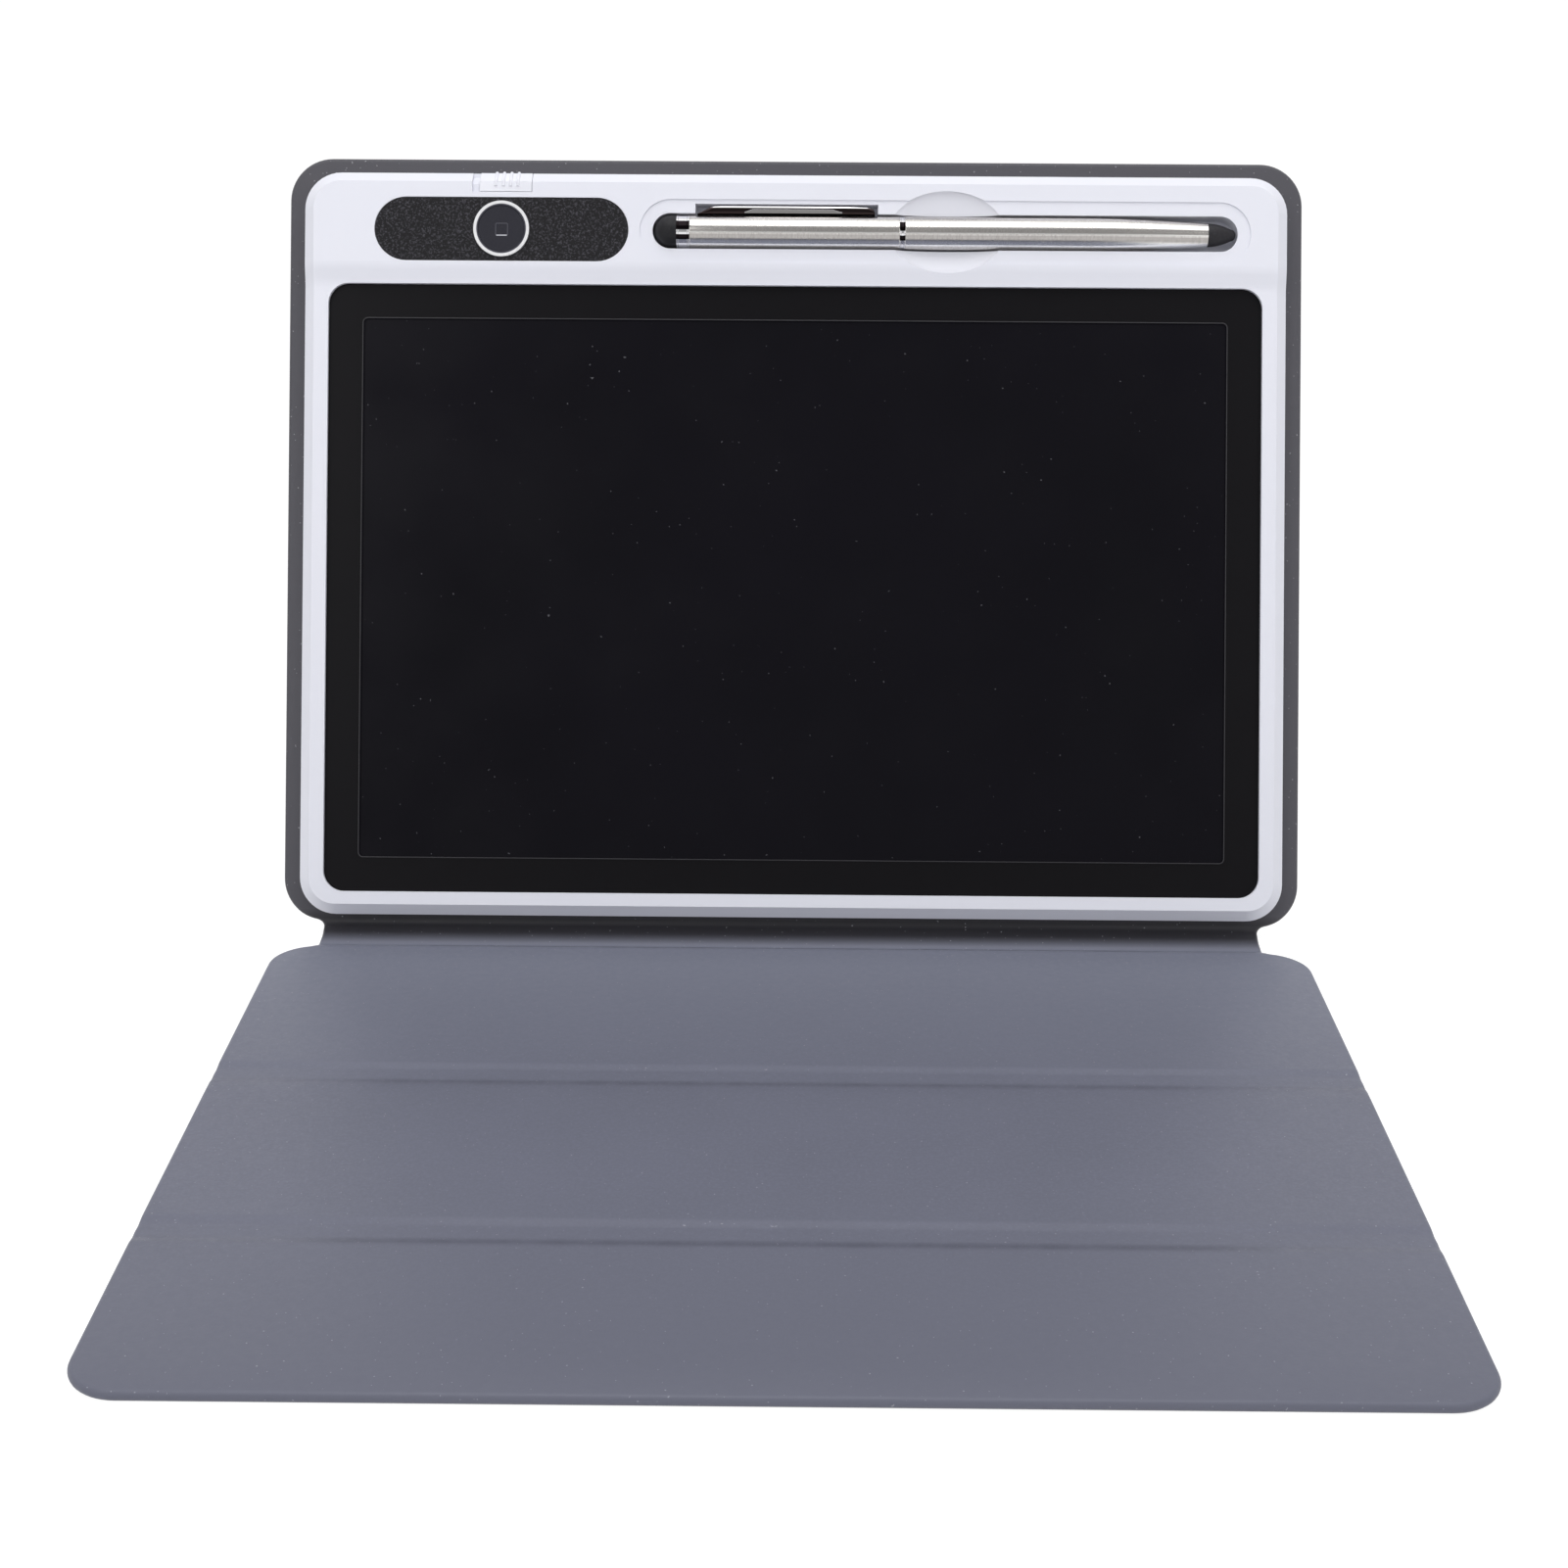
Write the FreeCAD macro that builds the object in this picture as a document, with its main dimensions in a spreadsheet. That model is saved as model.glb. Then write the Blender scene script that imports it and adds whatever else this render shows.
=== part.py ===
import FreeCAD, Part
import Sketcher
import math
import os
import re

from FreeCAD import Placement, Rotation, Vector

# LCD writing tablet in a three-fold leather folio, with a steel stylus.
#
# World frame: X to the right, Y to the back, Z up.  The folio's cover lies flat on the table with its
# middle at the origin, and the tablet leans back behind it.  Two more frames are used:
#   tablet frame: X right, Y up along the tablet from the back leaf's lower edge, Z out of its screen
#                 (zero on the back leaf's outer face)
#   spine frame:  X right, Y from the cover's hinge line to the tablet's, Z to the lining side

doc = FreeCAD.newDocument("writing_tablet_folio")
sheet = doc.addObject("Spreadsheet::Sheet", "Sizes")

# a text value is a formula in the sheet, so a piece follows what it is fitted to
SIZES = {
    # folio leaves
    "folio_side": 4.7, "folio_top": 4.8, "leaf_corner": 10.5,
    "folio_width": "=body_width + 2 * folio_side",
    "leaf_length": "=body_from_edge + body_length + folio_top",
    "skin": 0.6, "board": 1.1, "lining": 0.5, "edge_inset": 0.5, "segment_inner": 66.6,
    "segment_middle": 67.4, "crease_gap": 0.3, "groove_width": 7.0, "lining_gap": 1.6,
    # spine and its two fold lines
    "lean": 20.5, "spine_slope": 13.9, "spine_chord": 8.8, "spine_thickness": 1.6, "spine_notch": 10.0,
    "spine_width": "=folio_width - 2 * spine_notch",
    "spine_back_radius": 2.9, "hinge_inset": 1.15, "spine_inset": 1.6, "fold_radius": 0.8,
    "fold_web": 0.8,
    # magnets that hold the folded stand
    "magnet_radius": 5.0, "magnet_thickness": 0.8, "magnet_spacing": 170.0, "magnet_from_end": 27.0,
    # tablet body
    "frame_side": 6.15, "header_length": 27.4, "body_corner": 9.0, "body_from_edge": 1.9,
    "body_width": "=screen_width + 2 * frame_side",
    "body_length": "=screen_from_bottom + screen_length + header_length",
    "adhesive": 0.3, "adhesive_margin": 8.0, "wall": 1.4, "rear_wall": 1.0, "roof": 1.2,
    "frame_height": 6.0, "header_rise": 1.0, "ramp_length": 4.3, "parting_height": 3.0, "bevel": 2.6,
    "bevel_wall": 1.6, "fit_gap": 0.1,
    # screen
    "screen_width": 228.3, "screen_length": 148.8, "screen_corner": 5.0, "screen_from_bottom": 5.7,
    "screen_overlap": 2.0, "active_side": 8.5, "active_end": 8.4,
    "active_width": "=screen_width - 2 * active_side",
    "active_length": "=screen_length - 2 * active_end",
    "active_corner": 1.2, "mask": 0.15, "film": 0.45, "screen_plate": 0.8, "foam_width": 6.0,
    # header: clear button in its inlay
    "header_from_top": 14.2, "button_from_side": 48.5,
    "header_line": "=body_from_edge + body_length - header_from_top",
    "button_x": "=button_from_side - body_width / 2",
    "inlay_length": 61.9, "inlay_side": 0.9,
    "inlay_width": "=2 * ring_outer + 2 * inlay_side",
    "inlay_thickness": 0.8, "ring_outer": 6.8, "ring_width": 1.1, "ring_proud": 0.6,
    "ring_inner": "=ring_outer - ring_width",
    "cap_proud": 0.45, "cap_gap": 0.1, "flange_lap": 0.7,
    "cap_flange": "=ring_inner + flange_lap",
    "cap_flange_thickness": 0.6, "button_travel": 0.6, "stem_radius": 2.0,
    # header: lock slider in the upper edge
    "lock_from_side": 48.6,
    "lock_x": "=lock_from_side - body_width / 2",
    "lock_slot_width": 14.7, "lock_slot_length": 5.1, "lock_slot_depth": 2.9, "lock_slider_width": 12.7,
    "lock_rib_width": 0.7, "lock_rib_pitch": 2.0, "lock_rib_height": 0.35,
    # header: pen recess
    "pen_from_side": 83.8, "pen_from_top": 14.3, "pen_clearance": 0.35,
    "pen_x": "=body_width / 2 - pen_from_side",
    "pen_line": "=body_from_edge + body_length - pen_from_top",
    "step_end": 3.15, "step_side": 3.35,
    "step_length": "=pen_length + 2 * pen_clearance + 2 * step_end",
    "step_width": "=2 * pen_radius + 2 * pen_clearance + 2 * step_side",
    "step_depth": 0.35, "pocket_depth": 4.6, "scoop_offset": 0.5,
    "scoop_x": "=pen_x + scoop_offset",
    "scoop_half_length": 14.2, "scoop_half_width": 10.0, "scoop_depth": 2.6,
    # pen
    "pen_radius": 4.0, "pen_dome": 5.5, "pen_ring": 3.2, "pen_upper": 51.3, "pen_band": 1.3,
    "pen_lower": 73.8, "pen_taper": 28.0, "pen_nib": 7.0, "taper_drop": 1.05,
    "pen_front_radius": "=pen_radius - taper_drop",
    "pen_length": "=pen_dome + pen_ring + pen_upper + pen_band + pen_lower + pen_nib",
    "nib_tip": 0.6, "tube_wall": 0.5, "core_gap": 0.2,
    "core_radius": "=pen_radius - tube_wall - core_gap",
    "core_length": 44.0, "clip_from_end": 10.6, "clip_length": 43.6, "clip_thickness": 0.6,
    "clip_width": 3.2, "clip_stand_off": 1.7, "pen_lift": 0.25,
    # electronics
    "board_from_side": 57.3,
    "board_x": "=board_from_side - body_width / 2",
    "board_width": 42.0, "board_length": 19.0, "board_thickness": 0.8, "board_stand": 0.9,
    "switch_side": 6.0, "switch_height": 1.4, "flex_width": 14.0, "flex_length": 12.0,
    "flex_thickness": 0.2, "cell_radius": 10.0, "cell_thickness": 2.5, "tray_from_side": 19.3,
    "tray_x": "=tray_from_side - body_width / 2",
    "tray_side": 2.0,
    "tray_width": "=2 * cell_radius + 2 * tray_side",
    "tray_end": 2.6,
    "tray_length": "=2 * cell_radius + tray_end",
    "tray_floor": 0.4, "tray_screw_radius": 1.1, "screw_radius": 0.9, "screw_head_radius": 1.8,
    "screw_length": 5.0, "boss_radius": 2.0, "boss_inset": 0.7,
}

for row, (alias, number) in enumerate(SIZES.items(), start=1):
    sheet.set("A%d" % row, alias)
    sheet.set("B%d" % row, str(number))
    sheet.setAlias("B%d" % row, alias)
doc.recompute()

ALIAS = re.compile(r"\b(%s)\b" % "|".join(sorted(SIZES, key=len, reverse=True)))

# heights in the tablet frame, each built up from the driving sizes
LEAF = "(skin + board + lining)"
SHELL_BACK = "(%s + adhesive)" % LEAF
SHELL_FLOOR = "(%s + rear_wall)" % SHELL_BACK
PARTING = "(%s + parting_height)" % SHELL_BACK
FRAME_FACE = "(%s + frame_height)" % SHELL_BACK
HEADER_FACE = "(%s + header_rise)" % FRAME_FACE
HEADER_ROOF = "(%s - roof)" % HEADER_FACE
FRAME_ROOF = "(%s - roof)" % FRAME_FACE
SCREEN_LOW = "(body_from_edge + screen_from_bottom)"
SCREEN_MIDDLE = "(%s + screen_length / 2)" % SCREEN_LOW
SCREEN_TOP = "(%s + screen_length)" % SCREEN_LOW
BODY_TOP = "(body_from_edge + body_length)"
BODY_MIDDLE = "(body_from_edge + body_length / 2)"
PEN_START = "(pen_x - pen_length / 2)"
PEN_HEIGHT = "(%s + pen_lift + pen_radius)" % SHELL_FLOOR


def bound(expression):
    """The expression with every alias read from the sheet."""
    return ALIAS.sub(r"Sizes.\1", str(expression))


def value(expression):
    """The expression's number now."""
    return float(sheet.evalExpression(bound(expression)))


def bind(target, **expressions):
    """Tie properties to the sheet: Length="2 * wall" and, for a place, x, y and z."""
    for name, expression in expressions.items():
        path = "Placement.Base." + name if name in ("x", "y", "z") else name
        target.setExpression(path, bound(expression))
    return target


def box(x, y, z, width, length, height):
    """A box centred on x and y that stands on z."""
    solid = doc.addObject("Part::Box", "Box")
    return bind(solid, Length=width, Width=length, Height=height,
                x="%s - (%s) / 2" % (x, width), y="%s - (%s) / 2" % (y, length), z=z)


def disc(x, y, z, radius, height):
    """A cylinder that stands on z."""
    return bind(doc.addObject("Part::Cylinder", "Disc"), Radius=radius, Height=height, x=x, y=y, z=z)


def rod(x, y, z, radius, length, end_radius=None):
    """A cylinder, or a cone, along +X from x."""
    kind = "Part::Cylinder" if end_radius is None else "Part::Cone"
    solid = doc.addObject(kind, "Rod")
    if end_radius is None:
        bind(solid, Radius=radius, Height=length)
    else:
        bind(solid, Radius1=radius, Radius2=end_radius, Height=length)
    solid.Placement = Placement(Vector(), Rotation(Vector(0, 1, 0), 90))
    return bind(solid, x=x, y=y, z=z)


def fuse(*shapes):
    joined = doc.addObject("Part::MultiFuse", "Fuse")
    joined.Shapes = list(shapes)
    joined.Refine = True
    return joined


def common(*shapes):
    shared = doc.addObject("Part::MultiCommon", "Common")
    shared.Shapes = list(shapes)
    return shared


def cut(base, *tools):
    """The base without the tools."""
    result = doc.addObject("Part::Cut", "Cut")
    result.Base = base
    result.Tool = tools[0] if len(tools) == 1 else fuse(*tools)
    return result


def group(*shapes):
    """Separate solids that share one node."""
    gathered = doc.addObject("Part::Compound", "Group")
    gathered.Links = list(shapes)
    return gathered


def pill(x, y, z, length, width, height):
    """A bar with round ends, along X."""
    straight = "(%s - %s)" % (length, width)
    return fuse(box(x, y, z, straight, width, height),
                disc("%s - %s / 2" % (x, straight), y, z, "%s / 2" % width, height),
                disc("%s + %s / 2" % (x, straight), y, z, "%s / 2" % width, height))


def add_rounded_outline(sketch, width, length, radius):
    """Four lines and four corner arcs about the sketch's origin, tied to the sheet."""
    half_w, half_l, r = value(width) / 2, value(length) / 2, value(radius)
    up = Vector(0, 0, 1)

    def line(x1, y1, x2, y2):
        return Part.LineSegment(Vector(x1, y1, 0), Vector(x2, y2, 0))

    def corner(x, y, start):
        return Part.ArcOfCircle(Part.Circle(Vector(x, y, 0), up, r),
                                math.radians(start), math.radians(start + 90))

    sketch.addGeometry([
        line(-half_w + r, -half_l, half_w - r, -half_l), line(half_w, -half_l + r, half_w, half_l - r),
        line(half_w - r, half_l, -half_w + r, half_l), line(-half_w, half_l - r, -half_w, -half_l + r),
        corner(half_w - r, -half_l + r, 270), corner(half_w - r, half_l - r, 0),
        corner(-half_w + r, half_l - r, 90), corner(-half_w + r, -half_l + r, 180)], False)
    for side in range(4):
        arc, following = 4 + side, (side + 1) % 4
        sketch.addConstraint(Sketcher.Constraint("Tangent", side, 2, arc, 1))
        sketch.addConstraint(Sketcher.Constraint("Tangent", arc, 2, following, 1))
        if side:
            sketch.addConstraint(Sketcher.Constraint("Equal", 4, arc))
    sketch.addConstraint(Sketcher.Constraint("Horizontal", 0))
    sketch.addConstraint(Sketcher.Constraint("Vertical", 1))
    sketch.addConstraint(Sketcher.Constraint("Horizontal", 2))
    sketch.addConstraint(Sketcher.Constraint("Vertical", 3))
    named = [("radius", ("Radius", 4, r), radius),
             ("right", ("DistanceX", -1, 1, 1, 1, half_w), "%s / 2" % width),
             ("left", ("DistanceX", 3, 1, -1, 1, half_w), "%s / 2" % width),
             ("top", ("DistanceY", -1, 1, 2, 1, half_l), "%s / 2" % length),
             ("bottom", ("DistanceY", 0, 1, -1, 1, half_l), "%s / 2" % length)]
    for name, arguments, expression in named:
        index = sketch.addConstraint(Sketcher.Constraint(*arguments))
        sketch.renameConstraint(index, name)
        sketch.setExpression("Constraints." + name, bound(expression))


def origin_plane(body, role):
    return next(plane for plane in body.Origin.OriginFeatures if plane.Role == role)


def plate(x, y, z, width, length, radius, height):
    """A rounded plate, padded up from z, as a body with one sketch."""
    body = doc.addObject("PartDesign::Body", "Plate")
    sketch = body.newObject("Sketcher::SketchObject", "Outline")
    sketch.AttachmentSupport = (origin_plane(body, "XY_Plane"), [""])
    sketch.MapMode = "FlatFace"
    for axis, place in zip("xyz", (x, y, z)):
        sketch.setExpression("AttachmentOffset.Base." + axis, bound(place))
    add_rounded_outline(sketch, width, length, radius)
    pad = body.newObject("PartDesign::Pad", "Pad")
    pad.Profile = sketch
    pad.setExpression("Length", bound(height))
    sketch.Visibility = False
    return body


NODES = {}


def node(label, shape, frame=None):
    """Name a finished sub-part and put it in its frame; a primitive keeps its own place inside it."""
    if frame is not None and hasattr(shape, "AttacherEngine") and shape.TypeId != "PartDesign::Body":
        shape = group(shape)
    shape.Label = label
    if frame is not None:
        shape.Placement = frame
    NODES[label] = shape
    return shape


# ---------------------------------------------------------------- frames

def world_frames():
    """The tablet frame and the spine frame, worked out from the fold lines."""
    lean, slope = math.radians(value("lean")), math.radians(value("spine_slope"))
    half_leaf = value(LEAF) / 2
    lower = Vector(0, value("leaf_length / 2 + hinge_inset"), half_leaf)
    upper = lower + Vector(0, math.cos(slope), math.sin(slope)) * value("spine_chord")
    along = Vector(0, math.sin(lean), math.cos(lean))
    outward = Vector(0, -math.cos(lean), math.sin(lean))
    corner = upper + along * value("hinge_inset") - outward * half_leaf
    tablet = Placement(corner, Rotation(Vector(1, 0, 0), 90 - value("lean")))
    spine = Placement(lower, Rotation(Vector(1, 0, 0), value("spine_slope")))
    return tablet, spine


# ---------------------------------------------------------------- folio

LAYERS = {"skin": ("0", "skin", "0"), "board": ("skin", "board", "edge_inset"),
          "lining": ("(skin + board)", "lining", "0")}


def leaf_layer(layer, y):
    """One layer of a whole leaf, centred on y."""
    bottom, thickness, inset = LAYERS[layer]
    return plate("0", y, bottom, "(folio_width - 2 * %s)" % inset, "(leaf_length - 2 * %s)" % inset,
                 "(leaf_corner - %s)" % inset, thickness)


def magnet_pair(y, z, gap="0"):
    """Two disc magnets, or with a gap the pockets that hold them."""
    radius, height = "(magnet_radius + %s)" % gap, "(magnet_thickness + 2 * %s)" % gap
    return [disc(side + "magnet_spacing / 2", y, "%s - %s" % (z, gap), radius, height)
            for side in ("-", "")]


def back_leaf(tablet):
    """The leaf that the tablet is bonded to."""
    middle, magnet_z = "leaf_length / 2", "(skin + fit_gap)"
    node("back_skin", leaf_layer("skin", middle), tablet)
    pockets = magnet_pair("magnet_from_end", magnet_z, "fit_gap")
    node("back_board", cut(leaf_layer("board", middle), *pockets), tablet)
    node("back_lining", leaf_layer("lining", middle), tablet)
    node("back_magnets", group(*magnet_pair("magnet_from_end", magnet_z)), tablet)
    node("adhesive_sheet", plate("0", BODY_MIDDLE, LEAF, "(body_width - 2 * adhesive_margin)",
                                 "(body_length - 2 * adhesive_margin)", "body_corner / 2", "adhesive"),
         tablet)


def cover():
    """The front cover's three segments, flat on the table."""
    rear = "(leaf_length / 2)"
    crease_one = "(%s - segment_inner)" % rear
    crease_two = "(%s - segment_middle)" % crease_one
    spans = {"inner": (crease_one, rear), "middle": (crease_two, crease_one),
             "outer": ("(-leaf_length / 2)", crease_two)}
    gaps = {"skin": "crease_gap", "board": "groove_width", "lining": "lining_gap"}
    magnet_y = "(-leaf_length / 2 + magnet_from_end)"
    for segment, (front, back) in spans.items():
        for layer in LAYERS:
            whole = leaf_layer(layer, "0")
            low = front if segment == "outer" else "(%s + %s / 2)" % (front, gaps[layer])
            high = back if segment == "inner" else "(%s - %s / 2)" % (back, gaps[layer])
            strip = box("0", "(%s + %s) / 2" % (low, high), "0", "folio_width",
                        "(%s - %s)" % (high, low), LEAF)
            shape = common(whole, strip)
            if segment == "outer" and layer == "board":
                shape = cut(shape, *magnet_pair(magnet_y, "(skin + fit_gap)", "fit_gap"))
            node("cover_%s_%s" % (segment, layer), shape)
    node("cover_magnets", group(*magnet_pair(magnet_y, "(skin + fit_gap)")))


def spine(frame):
    """The narrow strip between the leaves, with a rounded back that rests on the table."""
    strip_length = "(spine_chord - 2 * spine_inset)"
    strip = box("0", "spine_chord / 2", "-spine_thickness / 2", "spine_width", strip_length,
                "spine_thickness")
    below = box("0", "spine_chord / 2", "-2 * spine_back_radius", "spine_width",
                "2 * spine_back_radius", "2 * spine_back_radius")
    # the round back's centre, one radius above the table, in the spine's own frame
    half_rise = "(spine_chord / 2 * sin(spine_slope) + %s / 2)" % LEAF
    centre_z = "((spine_back_radius - %s) / cos(spine_slope))" % half_rise
    back = rod("-spine_width / 2", "spine_chord / 2", centre_z, "spine_back_radius", "spine_width")
    node("spine_strip", fuse(strip, common(back, below)), frame)
    for name, axis_y, side in (("lower", "0", 1), ("upper", "spine_chord", -1)):
        bead = rod("-spine_width / 2", axis_y, "0", "fold_radius", "spine_width")
        web = box("0", "%s + %d * spine_inset / 2" % (axis_y, side), "-fold_web / 2", "spine_width",
                  "spine_inset", "fold_web")
        node("spine_fold_" + name, fuse(bead, web), frame)


# ---------------------------------------------------------------- tablet shells

def bezel_blank():
    """The front moulding's outer form: frame, ramp and raised header, bevelled all round."""
    body = plate("0", BODY_MIDDLE, PARTING, "body_width", "body_length", "body_corner",
                 "(%s - %s)" % (HEADER_FACE, PARTING))
    profile = body.newObject("Sketcher::SketchObject", "FrameStep")
    profile.AttachmentSupport = (origin_plane(body, "YZ_Plane"), [""])
    profile.MapMode = "FlatFace"
    ramp_top = "(%s + ramp_length)" % SCREEN_TOP
    corners = [("(body_from_edge - 5)", FRAME_FACE), (SCREEN_TOP, FRAME_FACE), (ramp_top, HEADER_FACE),
               (ramp_top, "(%s + 2)" % HEADER_FACE), ("(body_from_edge - 5)", "(%s + 2)" % HEADER_FACE)]
    add_polygon(profile, corners)
    step = body.newObject("PartDesign::Pocket", "Step")
    step.Profile = profile
    step.SideType = "Symmetric"
    step.setExpression("Length", bound("body_width + 10"))
    doc.recompute()
    soften_ramp(body, step, ramp_top)
    bevel_rim(body)
    return body


def add_polygon(sketch, corners):
    """A closed polygon whose corners are each tied to the sheet."""
    points = [Vector(value(x), value(y), 0) for x, y in corners]
    count = len(points)
    sketch.addGeometry([Part.LineSegment(points[i], points[(i + 1) % count]) for i in range(count)], False)
    for i, (x, y) in enumerate(corners):
        sketch.addConstraint(Sketcher.Constraint("Coincident", i, 2, (i + 1) % count, 1))
    for i, (x, y) in enumerate(corners):
        for kind, number, expression in (("DistanceX", points[i].x, x), ("DistanceY", points[i].y, y)):
            index = sketch.addConstraint(Sketcher.Constraint(kind, -1, 1, i, 1, number))
            name = "%s%d" % (kind, i)
            sketch.renameConstraint(index, name)
            sketch.setExpression("Constraints." + name, bound(expression))


def edges_where(feature, test):
    return ["Edge%d" % i for i, edge in enumerate(feature.Shape.Edges, start=1) if test(edge)]


def soften_ramp(body, step, ramp_top):
    """Round the foot and the crest of the ramp, so that it blends into both faces."""
    lines = {(round(value(SCREEN_TOP), 3), round(value(FRAME_FACE), 3)),
             (round(value(ramp_top), 3), round(value(HEADER_FACE), 3))}

    def on_ramp_line(edge):
        middle = edge.CenterOfMass
        return edge.BoundBox.YLength < 0.01 and (round(middle.y, 3), round(middle.z, 3)) in lines

    fillet = body.newObject("PartDesign::Fillet", "RampBlend")
    fillet.Base = (step, edges_where(step, on_ramp_line))
    fillet.setExpression("Radius", bound("0.9 * ramp_length * ramp_length / header_rise / 2"))
    doc.recompute()


def bevel_rim(body):
    """Bevel the whole outer rim, up the ramp and round the header."""
    tip = body.Tip
    low = value(FRAME_FACE) - 0.01
    half, back, front = value("body_width / 2"), value("body_from_edge"), value(BODY_TOP)
    corner = value("body_corner")

    def on_rim(edge):
        if edge.BoundBox.ZMin < low:
            return False
        middle = edge.valueAt((edge.FirstParameter + edge.LastParameter) / 2)
        inside_x, inside_y = half - abs(middle.x), min(middle.y - back, front - middle.y)
        if inside_x < 0.01 or inside_y < 0.01:
            return True
        in_corner = inside_x < corner and inside_y < corner
        gap = corner - math.hypot(corner - inside_x, corner - inside_y)
        return in_corner and abs(gap) < 0.01

    bevel = body.newObject("PartDesign::Chamfer", "Bevel")
    bevel.Base = (tip, edges_where(tip, on_rim))
    bevel.setExpression("Size", bound("bevel"))
    doc.recompute()


def boss_places():
    """Where the shell screws stand, in the header's free corners."""
    near = "(button_x + inlay_length / 2 + boss_radius + boss_inset)"
    far = "(body_width / 2 - wall - bevel - boss_radius - boss_inset)"
    low = "(%s + ramp_length + boss_inset)" % SCREEN_TOP
    high = "(%s - wall - boss_radius - 2 * boss_inset)" % BODY_TOP
    return [(near, high), (far, high), (near, low), (far, low)]


def front_bezel(tablet):
    """The white front moulding with its screen window, header openings and pen trough."""
    cavity_width = "(body_width - 2 * wall)"
    cavity_corner = "(body_corner - wall)"
    cavity_length = "(body_length - 2 * wall)"
    bevel_foot = "(%s - bevel)" % FRAME_FACE
    rim_cavity = plate("0", BODY_MIDDLE, "(%s - 1)" % PARTING, cavity_width, cavity_length,
                       cavity_corner, "(%s - %s + 1)" % (bevel_foot, PARTING))
    low_cavity = plate("0", BODY_MIDDLE, "(%s - 1)" % PARTING, "(%s - 2 * bevel_wall)" % cavity_width,
                       "(%s - 2 * bevel_wall)" % cavity_length, "(%s - bevel_wall)" % cavity_corner,
                       "(%s - %s + 1)" % (FRAME_ROOF, PARTING))
    header_start = "(%s + ramp_length - 1)" % SCREEN_TOP
    header_length = "(%s - wall - bevel - %s)" % (BODY_TOP, header_start)
    high_cavity = box("0", "(%s + %s / 2)" % (header_start, header_length), PARTING,
                      "(body_width - 2 * wall - 2 * bevel)", header_length,
                      "(%s - %s)" % (HEADER_ROOF, PARTING))
    shell = cut(bezel_blank(), rim_cavity, low_cavity, high_cavity)

    slot_length = "(pen_length + 2 * pen_clearance)"
    slot_width = "(2 * pen_radius + 2 * pen_clearance)"
    trough_base = "(%s + fit_gap)" % SHELL_FLOOR
    trough = pill("pen_x", "pen_line", trough_base, "(%s + 2 * wall)" % slot_length,
                  "(%s + 2 * wall)" % slot_width, "(%s - %s)" % (HEADER_ROOF, trough_base))
    clip_x = "(%s + clip_from_end + clip_length / 2)" % PEN_START
    clip_reach = "(pen_radius + clip_stand_off + clip_thickness)"
    pocket_y = "(pen_line + (%s + pen_clearance) / 2)" % clip_reach
    pocket_base = "(%s - pocket_depth)" % HEADER_FACE
    pocket_wall = box(clip_x, pocket_y, "(%s - roof)" % pocket_base, "(clip_length + 2 * wall + 1)",
                      "(%s + pen_clearance + 2 * wall)" % clip_reach, "(pocket_depth)")
    dish_wall = box("scoop_x", "pen_line", "(%s - scoop_depth - roof)" % HEADER_FACE,
                    "(2 * scoop_half_length + 2)", "(2 * scoop_half_width + 1)", "(scoop_depth)")
    bosses = [disc(x, y, trough_base, "boss_radius", "(%s - %s)" % (HEADER_ROOF, trough_base))
              for x, y in boss_places()]
    solid = fuse(shell, trough, pocket_wall, dish_wall, *bosses)

    above = "(%s + 3)" % HEADER_FACE
    window = plate("0", SCREEN_MIDDLE, SHELL_BACK, "screen_width", "screen_length", "screen_corner",
                   "(%s - %s)" % (above, SHELL_BACK))
    slot = pill("pen_x", "pen_line", SHELL_BACK, slot_length, slot_width,
                "(%s - %s)" % (above, SHELL_BACK))
    step = pill("pen_x", "pen_line", "(%s - step_depth)" % HEADER_FACE, "step_length", "step_width",
                "(step_depth + 3)")
    pocket = box(clip_x, pocket_y, pocket_base, "(clip_length + 1)",
                 "(%s + pen_clearance)" % clip_reach, "(pocket_depth + 3)")
    dish = doc.addObject("Part::Ellipsoid", "Dish")
    bind(dish, Radius1="scoop_depth", Radius2="scoop_half_length", Radius3="scoop_half_width",
         x="scoop_x", y="pen_line", z=HEADER_FACE)
    inlay_seat = pill("button_x", "header_line", "(%s - inlay_thickness)" % HEADER_FACE,
                      "(inlay_length + 2 * fit_gap)", "(inlay_width + 2 * fit_gap)",
                      "(inlay_thickness + 3)")
    button_hole = disc("button_x", "header_line", "(%s - 1)" % HEADER_ROOF, "ring_inner", "(roof + 4)")
    lock_slot = box("lock_x", "(%s - lock_slot_length / 2 + 1)" % BODY_TOP,
                    "(%s - lock_slot_depth)" % HEADER_FACE, "lock_slot_width",
                    "(lock_slot_length + 2)", "(lock_slot_depth + 3)")
    tray_mouth = tray_opening()
    pilots = [disc(x, y, SHELL_BACK, "(screw_radius)", "(screw_length + 0.3)")
              for x, y in boss_places()]
    node("front_bezel", cut(solid, window, slot, step, pocket, dish, inlay_seat, button_hole, lock_slot,
                            tray_mouth, *pilots), tablet)


def tray_opening():
    """The mouth for the battery tray in the upper edge, shared by both shells."""
    reach = "(tray_length + 2 * fit_gap)"
    return box("tray_x", "(%s - %s / 2 + 1)" % (BODY_TOP, reach), "%s + fit_gap / 2" % SHELL_FLOOR,
               "(tray_width + 2 * fit_gap)", "(%s + 2)" % reach,
               "(tray_floor + cell_thickness + 3 * fit_gap)")


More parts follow.
